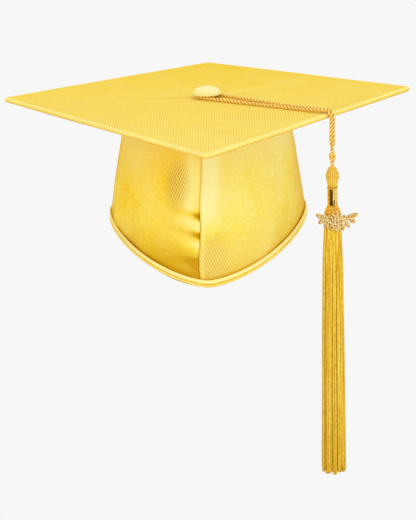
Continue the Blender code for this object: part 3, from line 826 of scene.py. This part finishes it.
def skull_cap():
    """The two front panels with their interlinings, and the back panel."""
    seam = 0.00015    # half the gap between two panels
    for side, start, end, look in (("left", -SIDE_SEAM + seam, -seam, SKULL_LEFT),
                                   ("right", seam, SIDE_SEAM - seam, SKULL_RIGHT)):
        cloth_wall("front_cloth_" + side, start, end, SKULL_TOP, 0.0010, 0, PANEL_CLOTH, look,
                   "skull_satin", "front_panel_" + side, front_folds,
                   130, 60, seamed=True)
        cloth_wall("front_interlining_cloth_" + side, start + 0.01, end - 0.01,
                   SKULL_TOP - 0.0016, BINDING_HEIGHT + 0.001, PANEL_CLOTH + 4 * GAP,
                   LINING_CLOTH, FUSED_WEB, "interlining", "front_interlining_" + side,
                   lining_folds, 70, 36)
    cloth_wall("back_cloth", SIDE_SEAM + seam, 2 * pi - SIDE_SEAM - seam, SKULL_TOP,
               CASING_HEIGHT - 0.0016, 0, PANEL_CLOTH, SKULL_BACK, "skull_satin", "back_panel",
               back_folds, 200, 50)


def hem_band(name, start, end, section, finish, slot, node, columns, ripple=None,
             cloth=0.0, closed=False):
    """A strip along the hem. section lists (height above the hem, distance out from the
    panel's outer face) round a closed outline, or down an open one, and may add painted light
    and shade to the colour: shade above 0, highlight below 0."""
    def at(i, j):
        up, out, *light_and_shade_mark = section[i]
        phi = start + (end - start) * j / columns
        lift, painted_shading = ripple(phi, up) if ripple else (0.0, 0.0)
        return (hem_point(phi, up, out + lift), painted_shading + sum(light_and_shade_mark),
                (phi * HEM_REACH, up + 0.02 * i / len(section)))

    shape = Shape()
    begin = shape.surface(len(section), columns + 1, at, tube=closed)
    if closed and not cloth:
        for column, flip in ((0, False), (columns, True)):
            face = [begin + i * (columns + 1) + column for i in range(len(section))]
            shape.faces.append(tuple(face if flip else face[::-1]))
    strip = shape.piece(name, finish, "cap", slot, [node], cloth=cloth)


def binding():
    """The satin strip folded over the hem: an upper and a lower roll with a stitched line
    between them, then the plain inner side."""
    back = -PANEL_CLOTH - GAP
    inner = back - BINDING_CLOTH
    # Each step's third number is painted light and shade: highlights on the two rolls, shade in the
    # stitched groove and at the edges.
    section = [(0.0060, 0.0003, 0.7), (0.0061, 0.0011, 0.0), (0.0058, 0.0017, -0.9),
               (0.0051, 0.0020, -1.2), (0.0042, 0.0020, -1.0), (0.0034, 0.0016, -0.7),
               (0.0027, 0.0010, 0.2), (0.0023, 0.0009, 0.7), (0.0020, 0.0012, 0.2),
               (0.0015, 0.0017, -0.3), (0.0007, 0.0017, 0.0), (0.0001, 0.0013, 0.5),
               (-0.0002, 0.0006, 0.9), (-0.0001, -0.0004, 0.7), (0.0004, inner + 0.0001, 0.3),
               (0.0010, inner, 0.0), (0.0028, inner, 0.0), (BINDING_HEIGHT, inner, 0.2),
               (BINDING_HEIGHT, back, 0.5)]

    def ripple(phi, up):
        lift = 0.00012 * soft(phi * 24, up * 300, 6)
        # Painted light: the upper roll paler on the right, the lit side, and painted sheen where
        # the cloth stands proud.
        painted_lit_side = 0.90 * max(0.0, sin(phi)) if up > 0.0024 else 0.0
        return lift, -lift / 0.0005 - painted_lit_side

    hem_band("hem_binding_cloth", -SIDE_SEAM + 0.002, SIDE_SEAM - 0.002, section, BINDING,
             "binding_satin", "hem_binding", 300, ripple, 0.0004)
    stitches("binding_stitches", [radians(a) for a in range(-102, 103, 3)], 0.0023, 0.00095,
             "binding_satin")


def sweatband():
    """The ribbed band round the inside of the front."""
    inner = -PANEL_CLOTH - 2 * GAP - BINDING_CLOTH
    clear = 0.0015    # the band stands clear of the interlining behind it
    section = [(0.001 + SWEATBAND_HEIGHT * i / 12, inner - clear * min(1.0, i / 2))
               for i in range(12, -1, -1)]

    def ripple(phi, up):
        rib = cos(phi * HEM_REACH / RIB_PITCH * pi)
        loose = 0.0005 * soft(phi * 6, up * 30, 3) * min(1.0, up / 0.01)
        return 0.00011 * rib - abs(loose), -0.3 * rib

    hem_band("sweatband_knit", -radians(95), radians(95), section, RIB_KNIT, "sweatband_rib",
             "sweatband", 420, ripple, 0.0006)


def elastic_back():
    """The elastic in its casing: cloth gathered over a short length of webbing."""
    start, end = SIDE_SEAM + 0.002, 2 * pi - SIDE_SEAM - 0.002
    outer = CASING_CLOTH + GAP + (ELASTIC_THICK - PANEL_CLOTH) / 2
    inner = outer - ELASTIC_THICK - 2 * (CASING_CLOTH + GAP)
    top, middle = CASING_HEIGHT, (inner + outer) / 2
    section = [(top, inner + 0.0006), (top + 0.0002, middle), (top, outer - 0.0004),
               (top - 0.0014, outer - 0.0002), (top - 0.0032, outer + 0.0004),
               (top / 2, outer + 0.0007), (0.0030, outer + 0.0004), (0.0015, outer - 0.0002),
               (0.0002, outer - 0.0004), (-0.0001, middle), (0.0002, inner + 0.0004),
               (0.0030, inner), (top / 2, inner - 0.0002), (top - 0.0030, inner)]

    def ripple(phi, up):
        turn = phi - pi
        wave = sin(turn * 62 + 1.6 * soft(turn * 5, 0.2)) + 0.45 * sin(turn * 105 + 1.0)
        height = bell(up - top / 2, 0.0046)
        # Painted sheen on the gathers' crests, painted shade in their hollows and along the
        # casing's top and bottom.
        return 0.00055 * wave * height, -0.55 * wave * height + 0.5 * (1 - height)

    hem_band("elastic_casing_cloth", start, end, section, SKULL_BACK, "skull_satin",
             "elastic_casing", 420, ripple, 0.0003, closed=True)
    room, half = (top - ELASTIC_HEIGHT) / 2, 0.0004
    face = [(top - room, middle + half), (room, middle + half), (room, middle - half),
            (top - room, middle - half)]
    hem_band("back_elastic_web", start + 0.004, end - 0.004, face, WEBBING, "elastic",
             "back_elastic", 120, closed=True)
    for level, name in ((top - 0.0014, "upper"), (0.0014, "lower")):
        stitches("casing_stitches_" + name, [start + (end - start) * i / 60 for i in range(61)],
                 level, outer + 0.0001, "skull_satin")


def crown_lining():
    """The oval under the board, its edge eased into the wall."""
    half_x, half_y = (half - PANEL_CLOTH - GAP for half in CROWN_HALF)
    shares = [SHANK_HOLE / half_y] + [i / 26 for i in range(1, 27)]
    steps = 96

    def at(i, j):
        share, angle = shares[i], -2 * pi * j / steps
        x, y = half_x * share * cos(angle), half_y * share * sin(angle)
        pleat = sin(angle * 24 + 2 * soft(cos(angle), sin(angle))) * bell(share - 1, 0.22)
        sag = 0.0006 * (1 - share ** 2) * min(1.0, share / 0.2) + 0.0003 * pleat
        # Painted light and shade across the pleats, and painted shade round the edge.
        return ((x, y, SKULL_TOP - PANEL_CLOTH + warp(x, y) - sag - 0.0002),
                0.4 * pleat + 0.5 * bell(share - 1, 0.05), (x, y))

    shape = Shape()
    shape.surface(len(shares), steps, at, ring=True)
    disc = shape.piece("crown_lining", LINING, "cap", "lining_satin", ["crown_disc"],
                       cloth=0.0006)


# ---------------------------------------------------------------- button

def button():
    """The covered button: cloth pulled over a dome and gathered under it."""
    waist, round_off, steps = BUTTON_LIP + 0.0003, 0.84, 120
    curl = waist - BUTTON_LIP
    profile = [(BUTTON_RADIUS * sin(a) ** round_off,
                waist + (BUTTON_HEIGHT + 0.0006 - waist) * cos(a) ** round_off)
               for a in map(radians, (2, 8, 16, 24, 32, 40, 48, 56, 64, 72, 80, 88))]
    profile += [(BUTTON_RADIUS - curl + curl * cos(a), waist - curl * sin(a))
                for a in map(radians, (4, 24, 46, 68, 90))]
    under = len(profile)
    profile += [(BUTTON_NECK + 0.0008, BUTTON_LIP), (BUTTON_NECK, BUTTON_LIP - 0.0006),
                (BUTTON_NECK, 0.0010), (BUTTON_NECK - 0.0004, GAP), (0.0062, GAP)]

    def gather(angle):
        return sin(angle * 15 + 1.4 * soft(cos(angle) * 2, sin(angle) * 2))

    def wave(angle, row):
        if row >= under:
            return 1.0
        low = max(0.0, (row - 4) / 9)
        puff = 0.020 * soft(cos(angle) * 1.5, sin(angle) * 1.5, row * 0.25)
        return 1 + 0.022 + 0.010 * low * gather(angle) + puff * min(1.0, row / 5)

    # Painted light on the cover: paler over the dome's top, light and shade across the gathers,
    # painted shade under the lip.
    def value(angle, row):
        low = max(0.0, (row - 3) / 12)
        return -0.5 * low * gather(angle) - 0.7 * (1 - low) + 0.75 * max(0.0, (row - 11) / 6)

    shape = Shape()
    shape.cap(revolve(shape, profile, (0, 0, BOARD_TOP), steps, wave, value), steps)
    cover = shape.piece("button_cloth", BUTTON, "button", "button_satin", ["button_cover"],
                        cloth=BUTTON_CLOTH * 0.6)


# ---------------------------------------------------------------- tassel string

def leg(side, spread):
    """One run of the string over the board, from its loop to the drop. side is 1 for the far
    run and -1 for the near run, and spread is half the distance between them at the drop."""
    towards = HANG.normalized()
    across = Vector((-towards.y, towards.x, 0)) * side
    on_board = CORD / 2 + GAP
    start = LOOP_LEAVES * CORD_RING
    width = sqrt(CORD_RING ** 2 - start ** 2)
    points = []
    for share, bow in ((0.0, 0.0), (0.12, 0.0), (0.3, 0.0006), (0.5, 0.0010), (0.7, 0.0008),
                       (0.86, 0.0002)):
        along = start + (HANG.length - BEND - start) * share
        half = width + (spread - width) * share - bow
        rise = max(0.0, share - 0.7) / 0.3 * (EDGE_CLEAR - on_board)
        points.append(towards * along + across * half
                      + Vector((0, 0, BOARD_TOP + on_board + rise)))
    turn = ALONG_EDGE * side * spread
    for angle in map(radians, (0, 30, 60, 90)):
        back, drop = BEND * (1 - sin(angle)), BEND * (1 - cos(angle))
        points.append(HANG - OUTWARD * back + turn + Vector((0, 0, BOARD_TOP + EDGE_CLEAR - drop)))
    return points


def cord_route(spread):
    """The string's route on the board: far run, loop round the button, near run."""
    towards = atan2(HANG.y, HANG.x)
    height = BOARD_TOP + CORD / 2 + GAP
    gap_half = atan2(sqrt(1 - LOOP_LEAVES ** 2), LOOP_LEAVES)
    turns = [towards + gap_half + (2 * pi - 2 * gap_half) * i / 8 for i in range(1, 8)]
    loop = [Vector((CORD_RING * cos(a), CORD_RING * sin(a), height)) for a in turns]
    return leg(1, spread)[::-1] + loop + leg(-1, spread)


def drop_run(side, spread, count=8):
    """One strand of the drop: down beside the other, then across it into the knot."""
    top = BOARD_TOP + EDGE_CLEAR - BEND
    low = BOARD_TOP - KNOT_TOP - 0.0030
    points = []
    for i in range(1, count + 1):
        share = i / count
        cross = clamp((share - 0.40) / 0.60)
        angle = pi * cross * cross * (3 - 2 * cross)
        reach = spread * (1 - 0.50 * cross)
        way = ALONG_EDGE * cos(angle) + OUTWARD * sin(angle)
        points.append(HANG + way * side * reach + Vector((0, 0, top + (low - top) * share)))
    return points


def tassel_string():
    """The twisted string: up out of the knot, round the button, and back down into it."""
    spread = (CORD + GAP) / 2
    route = drop_run(1, spread)[::-1] + cord_route(spread) + drop_run(-1, spread)
    for point in route:
        point.z += warp(point.x, point.y) * clamp((point.z - 0.07) / 0.028)
    line = smooth_line(route, 0.0004)
    shape = Shape()
    strand(shape, line, CORD / 2 * 1.06, 2, 0.0068, 18, 0.26)
    rope = shape.piece("tassel_string", ROPE, None, "cord_rayon",
                       ["tassel_cord_loop", "tassel_cord_drop_far", "tassel_cord_drop_near"],
                       value="ridge")
    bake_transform(rope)
    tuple(line[0])
    round(length_of(line), 3)


# ---------------------------------------------------------------- tassel

def hung(reach, angle, down):
    """A point round the tassel's axis, down from the board's top face."""
    return HANG.x + reach * cos(angle), HANG.y + reach * sin(angle), BOARD_TOP - down


def tassel_knot():
    """The overhand knot: a closed trefoil of the same rope, pulled tight."""
    middle = BOARD_TOP - (KNOT_TOP + BULB_TOP) / 2 + 0.0008
    wide, thick, tall, steps = 0.00058, 0.00105, 0.00185, 36
    knots = [(HANG.x + wide * (sin(turn) + 2 * sin(2 * turn)), HANG.y - thick * sin(3 * turn),
              middle + tall * (cos(turn) - 2 * cos(2 * turn)))
             for turn in (2 * pi * i / steps for i in range(steps))]
    shape = Shape()
    strand(shape, smooth_line(knots + knots[:1], 0.0003), 0.00112, 2, 0.0056, 12, 0.26)
    shape.piece("tassel_knot_rope", ROPE, "tassel_drop", "cord_rayon", ["tassel_knot"],
                value="ridge")


def bulb_radius(down):
    """Outer radius of the head at a distance below the board's top face."""
    top, bottom = BULB_TOP - 0.0012, BAND_TOP + 0.0012
    share = min(0.98, max(0.02, (down - top) / (bottom - top)))
    least = 0.0014 if share < 0.6 else 0.0039
    return max(least, BULB_RADIUS * 0.96 * sin(pi * share ** 1.02) ** 0.66)


def tassel_bulb():
    """The head: threads laid over a core from the knot to the band, netted round the upper
    half, and the neck under the band."""
    ridges, rows = 17, 40
    start, tall = BULB_TOP - 0.0010, BAND_TOP - BULB_TOP + 0.0007
    profile = [(bulb_radius(down), -down)
               for down in (start + tall * i / rows for i in range(rows + 1))]
    profile += [(NECK_RADIUS, -(BAND_TOP - 0.0001)), (NECK_RADIUS, -SKIRT_TOP)]

    def ridge(angle, row):
        return cos(ridges * angle + 0.8 * sin(row * 0.35))

    def wave(angle, row):
        return 1 + 0.026 * ridge(angle, row)

    # Painted light and shade on the threads: paler on the ridges, deeper between them and towards
    # the bottom rim.
    def value(angle, row):
        rim = clamp((row - 33) / 7)
        return max(0.0, (0.64 + 0.30 * ridge(angle, row)) * (1 - 0.75 * rim))

    shape = Shape()
    solid_of_turn(shape, profile, TASSEL_AXIS, 184, wave, value)
    shape.piece("tassel_bulb_threads", BULB, "tassel_head", "tassel_rayon", ["tassel_bulb"],
                value="ridge")
    net = Shape()
    threads, steps = 9, 12
    for hand in (1, -1):
        for k in range(threads):
            knots = []
            for i in range(steps + 1):
                down = BULB_TOP + 0.0010 + 0.0080 * i / steps
                angle = 2 * pi * k / threads + hand * 1.3 * i / steps
                knots.append(hung(bulb_radius(down) + 0.00018 + 0.00008 * hand, angle, down))
            strand(net, smooth_line(knots, 0.0006), 0.00030, 2, 0.0012, 7, 0.2)
    rim = [hung(0.0041, 2 * pi * i / 40, BAND_TOP - 0.0005) for i in range(41)]
    strand(net, smooth_line(rim, 0.0006), 0.00042, 2, 0.0016, 7, 0.25)
    net.piece("tassel_bulb_net", THREAD, "tassel_head", "tassel_rayon", value="ridge")


def tassel_band():
    """The ribbed metal band: a coil of gilt wire rings round the neck."""
    ribs, steps = 12, 8
    tall = SKIRT_TOP - BAND_TOP
    profile = []
    for i in range(ribs * steps + 1):
        share = i / (ribs * steps)
        rib = abs(sin(pi * ribs * share)) ** 0.7
        profile.append((BAND_RADIUS - 0.00016 + 0.00026 * rib, -(BAND_TOP + tall * share)))
    inner = NECK_RADIUS + GAP / 2
    profile += [(inner, -SKIRT_TOP), (inner, -BAND_TOP)]
    shape = Shape()
    revolve(shape, profile, TASSEL_AXIS, 72, tube=True)
    shape.piece("tassel_band_coil", GILT, "tassel_head", "gilt_metal", ["tassel_band"])


def skirt_radius(down):
    """Outer radius of the skirt at a distance below its top."""
    places = ((0.0, 0.0040), (0.0020, 0.0050), (0.0042, 0.0059), (0.0070, 0.0067),
              (0.0100, 0.0072), (0.0240, 0.0076), (0.0460, 0.0086), (0.1000, 0.0095),
              (0.2300, 0.0108), (0.2400, 0.0107))
    for (low, small), (high, large) in zip(places, places[1:]):
        if down <= high:
            return small + (large - small) * (down - low) / (high - low)
    return places[-1][1]


def tassel_skirt():
    """The skirt: strands in rings, turned out over the neck and hanging straight."""
    rng = random.Random(SEED)
    long = SKIRT_END - SKIRT_TOP
    outermost = 0.905
    shape = Shape()
    for count, share_out in ((31, outermost), (24, 0.70), (17, 0.48), (10, 0.24)):
        for k in range(count):
            base = 2 * pi * (k + rng.uniform(-0.22, 0.22)) / count
            end = long - abs(rng.gauss(0, 0.0022)) - 0.0002
            drift = rng.uniform(-0.04, 0.04)
            sway = rng.uniform(0, 2 * pi)
            size = rng.uniform(0.00078, 0.00100)
            push = rng.uniform(-0.035, 0.035)
            knots = []
            for down in (0.0004, 0.0016, 0.0034, 0.0060, 0.0095, 0.020, 0.045, 0.080, 0.120,
                         0.160, 0.200, end):
                loose = min(1.0, down / 0.05)
                angle = base + drift * down / long + 0.020 * loose * sin(down * 30 + sway)
                reach = (skirt_radius(down) - size) * (share_out + push * loose)
                reach = min(reach / outermost * 0.97, skirt_radius(down) - size * 0.6)
                knots.append(hung(reach, angle, SKIRT_TOP + down))
            strand(shape, smooth_line(knots, 0.0024),
                   lambda share, size=size: size * min(1.0, 0.55 + share * 9),
                   pitch=rng.uniform(0.0040, 0.0050), sides=7, phase=rng.uniform(0, 6))
    shape.piece("tassel_skirt_strands", STRAND, "tassel_head", "tassel_rayon", ["tassel_skirt"],
                value="ridge")
    dome, threads = Shape(), 34
    for k in range(threads):
        angle = 2 * pi * (k + rng.uniform(-0.15, 0.15)) / threads
        knots = []
        for down in (-0.0004, 0.0010, 0.0026, 0.0046, 0.0072, 0.0105):
            reach = skirt_radius(max(down, 0.0)) - 0.0005 - (0.0012 if down > 0.01 else 0)
            knots.append(hung(reach, angle, SKIRT_TOP + down))
        strand(dome, smooth_line(knots, 0.0007), 0.00062, 2, 0.006, 7, 0.15)
    dome.piece("tassel_skirt_turnover", ROPE_SOFT, "tassel_head", "tassel_rayon", value="ridge")


# ---------------------------------------------------------------- charm

def charm_place(x, down, forward=CHARM_REACH):
    """A point in front of the tassel: x from the hook, down from the board's top face."""
    return Vector((HANG.x + HOOK_ASIDE + x, HANG.y - forward, BOARD_TOP - down))


def charm_hook():
    """A metal tongue down the band that ends in a small upright ring for the charm."""
    ring = 0.0014
    centre_down = CHARM_PIVOT - 0.0004
    lie = sqrt((BAND_RADIUS + GAP + WIRE) ** 2 - HOOK_ASIDE ** 2)
    points = [(lie, BAND_TOP + 0.0090), (lie, BAND_TOP + 0.0105), (lie, SKIRT_TOP - 0.0016),
              (lie + 0.0011, SKIRT_TOP - 0.0004)]
    points += [(CHARM_REACH + ring * cos(a), centre_down - ring * sin(a))
               for a in (radians(150 - 27 * i) for i in range(13))]
    shape = Shape()
    knots = [charm_place(0, down, forward) for forward, down in points]
    strand(shape, smooth_line(knots, 0.0003), WIRE, sides=12)
    wide, thick, steps = 0.0009, 0.00016, 16
    section = ((-1, 0.2), (-0.7, 1), (0, 1.3), (0.7, 1), (1, 0.2), (0.7, -0.8), (-0.7, -0.8))
    top = BAND_TOP + 0.0085
    tongue = []
    for i in range(steps + 1):
        narrow = min(1.0, 0.45 + min(i, steps - i) / 3)
        centre = charm_place(0, top + (SKIRT_TOP - 0.0006 - top) * i / steps, lie - WIRE * 0.3)
        tongue.append([centre + Vector((wide * narrow * x, -thick * y, 0)) for x, y in section])
    shape.close(shape.grid(tongue, ring=True), steps + 1, len(section))
    shape.piece("charm_tongue", GILT, "tassel_head", "gilt_metal", ["charm_hook"])


def domed_leaf(shape, x, down, heading, length):
    """A laurel leaf with a raised midrib, on the charm's plane."""
    width, rows, sides = 0.0046, 12, 12

    def at(i, j):
        share, turn = i / rows, 2 * pi * j / sides
        half = max(0.00006, width / 2 * sin(pi * min(0.985, share * 0.97 + 0.02)) ** 0.8)
        along, aside, front = length * share, cos(turn) * half, sin(turn)
        rib = 0.00022 * bell(aside, 0.0004) if front > 0 else 0.0
        deep = 0.00048 * front * (1 - 0.35 * share) + rib
        point = charm_place(x + along * cos(heading) - aside * sin(heading),
                            down - along * sin(heading) - aside * cos(heading),
                            CHARM_REACH + deep)
        # Painted light: highlights along the leaf's edges, a little painted shade on the middle of
        # its face and more on its back.
        rim = -0.9 if front < -0.4 else 0.95 * abs(cos(turn)) ** 4 - 0.35 * front ** 4
        return point, rim, (point.x, point.y)

    shape.close(shape.surface(rows + 1, sides, at, ring=True), rows + 1, sides)


def charm():
    """The laurel spray: a bowed stem, paired leaves with berries, and the eye it hangs by."""
    middle = CHARM_TOP + CHARM_DEEP * 0.62 - 0.0034

    def stem_point(share):
        return 0.0012 + share * (CHARM_WIDTH / 2 - 0.0048), middle + 0.0022 - 0.0052 * share ** 2

    shape = Shape()
    stem = [charm_place(*stem_point(-1 + i / 8)) for i in range(17)]
    strand(shape, smooth_line(stem, 0.0005), 0.00062)
    for share in (-0.98, -0.66, -0.34, 0.0, 0.34, 0.66, 0.98):
        for heading, length in ((-90 + 48 * share, 0.0064), (90 - 62 * share, 0.0079)):
            domed_leaf(shape, *stem_point(share), radians(heading), length)
    for share in (-0.82, -0.5, -0.17, 0.17, 0.5, 0.82):
        x, down = stem_point(share)
        solid_of_turn(shape, ball(0.00055, range(15, 180, 25)),
                      charm_place(x, down - 0.0014, CHARM_REACH + 0.0004), 10)
    post = [charm_place(0, CHARM_PIVOT + 2 * CHARM_EYE - 0.0002), charm_place(0, stem_point(0)[1])]
    strand(shape, smooth_line(post, 0.0006), 0.00055, sides=8)
    eye = [charm_place(CHARM_EYE * sin(a), CHARM_PIVOT + CHARM_EYE - CHARM_EYE * cos(a))
           for a in map(radians, range(0, 361, 15))]
    strand(shape, smooth_line(eye, 0.0004), WIRE * 1.15)
    shape.piece("charm_spray", CHARM_GILT, "charm", "charm_gilt", ["charm"])


# ---------------------------------------------------------------- small fittings

def repaint():
    """Better finishes on the CAD nodes that keep their shape."""
    for name, look, slot in (("button_shell", SHELL, "button_plastic"),
                             ("button_back_plate", NICKEL, "plated_steel"),
                             ("button_rivet", NICKEL, "plated_steel"),
                             ("rivet_washer", NICKEL, "plated_steel")):
        node = frame["nodes"][name]
        node.data.materials.clear()
        node.data.materials.append(look)


# ---------------------------------------------------------------- studio

def matt(name, size, low, high, socket="Base Color", **sockets):
    """A dull, faintly mottled surface, whose colour goes to one socket of the shader."""
    made = Finish(name, 0.9, Specular_IOR_Level=0.0, **sockets)
    made.colour = made.mix(made.noise(made.place(), size, 1.0), low, high)
    return made.done(socket)


def staged(name, points, faces, finish, hidden_from):
    """A piece of the studio that some kinds of rays don't see."""
    mesh = bpy.data.meshes.new(name)
    mesh.from_pydata(points, [], faces)
    mesh.materials.append(finish)
    thing = placed(name, mesh)
    for rays in hidden_from:
        setattr(thing, "visible_" + rays, False)


def floor():
    """A pale floor far below that throws light back up."""
    reach, low = 60.0, -1.3
    staged("floor", [(-reach, -reach, low), (reach, -reach, low), (reach, reach, low),
                     (-reach, reach, low)], [(0, 1, 2, 3)],
           matt("floor_look", 2.0, (0.887, 0.887, 0.887, 1), (0.891, 0.891, 0.891, 1)),
           ["camera"])


def backdrop():
    """The even pale backdrop: a great ball round everything that only the camera sees."""
    shape = Shape()
    solid_of_turn(shape, ball(30, range(1, 180, 10)), (0, 0, 0), 24)
    staged("backdrop", shape.points, shape.faces,
           matt("backdrop_look", 12.0, (246.5, 246.5, 246.5), (247.5, 247.5, 247.5),
                "Emission Color", Emission_Strength=1.0, Base_Color=(0, 0, 0, 1)),
           ["diffuse", "glossy", "shadow", "transmission", "volume_scatter"])


def dark_card():
    """A dark card at the front left that only glossy surfaces see, as a photographer sets one
    up so that shiny metal shows its shape."""
    middle, way = Vector((-0.18, -0.50, -0.2)), Vector((0.557, -0.830, 0))
    wide, tall = 0.965, 2.0
    staged("dark_card", [middle + way * x * wide + Vector((0, 0, z * tall))
                         for x, z in ((-1, -1), (1, -1), (1, 1), (-1, 1))], [(0, 1, 2, 3)],
           matt("card_look", 0.5, (0.010, 0.006, 0.003, 1), (0.016, 0.010, 0.005, 1)),
           ["camera", "diffuse", "shadow", "transmission", "volume_scatter"])


def soft_light():
    """Light from all round that is strongest from the front right and above."""
    world = bpy.data.worlds.new("studio")
    bpy.context.scene.world = world
    world.use_nodes = True
    tree = world.node_tree
    way = add_node(tree, "ShaderNodeTexCoord").outputs["Generated"]
    key = Vector((0.28, -0.77, 0.57)).normalized()
    facing = add_node(tree, "ShaderNodeVectorMath", {0: way, 1: key}, operation="DOT_PRODUCT")
    strength = add_node(tree, "ShaderNodeMapRange", {
        "Value": facing.outputs["Value"], "From Min": -0.4, "From Max": 1.0, "To Min": 0.83,
        "To Max": 1.14}, interpolation_type="SMOOTHSTEP").outputs[0]
    back = tree.nodes["Background"]
    tree.links.new(strength, back.inputs["Strength"])
    back.inputs["Color"].default_value = (1, 1, 1, 1)
    bpy.context.scene.view_settings.view_transform = "Standard"


def fill_light():
    """A weak soft box low in front that lights the cloth under the board's shade."""
    data = bpy.data.lights.new("fill", "AREA")
    data.shape = "DISK"
    data.size = 0.5
    data.energy = 0.45
    box = placed("fill", data)
    box.location = (0.22, -0.80, -0.24)
    aim = Vector((0.0, 0.0, 0.085)) - box.location
    box.rotation_euler = aim.to_track_quat("-Z", "Y").to_euler()


def camera():
    """The photograph's view: a long lens, a little above the board and rolled slightly."""
    distance, height, side = 1.36796, radians(12.783), radians(0.673)
    pan, tilt, roll = radians(0.808), radians(90 - 18.468), radians(-1.750)
    lens = bpy.data.cameras.new("camera")
    lens.sensor_width = 36.0
    lens.lens = 112.93
    lens.clip_start = 0.05
    lens.clip_end = 100.0
    eye = placed("camera", lens)
    eye.location = Vector((0, 0, BOARD_TOP)) + distance * Vector(
        (sin(side) * cos(height), -cos(side) * cos(height), sin(height)))
    turn = (Matrix.Rotation(pan, 4, "Z") @ Matrix.Rotation(tilt, 4, "X")
            @ Matrix.Rotation(roll, 4, "Z"))
    eye.rotation_euler = turn.to_euler()
    bpy.context.scene.camera = eye


camera()
floor()
backdrop()
soft_light()
dark_card()
fill_light()
stiff_board()
board_cloth("board_top_cloth", True, "board_cover_top", BOARD)
board_cloth("board_under_cloth", False, "board_cover_bottom", BOARD_UNDER)
skull_cap()
binding()
sweatband()
elastic_back()
crown_lining()
button()
tassel_string()
tassel_knot()
tassel_bulb()
tassel_band()
tassel_skirt()
charm_hook()
charm()
repaint()
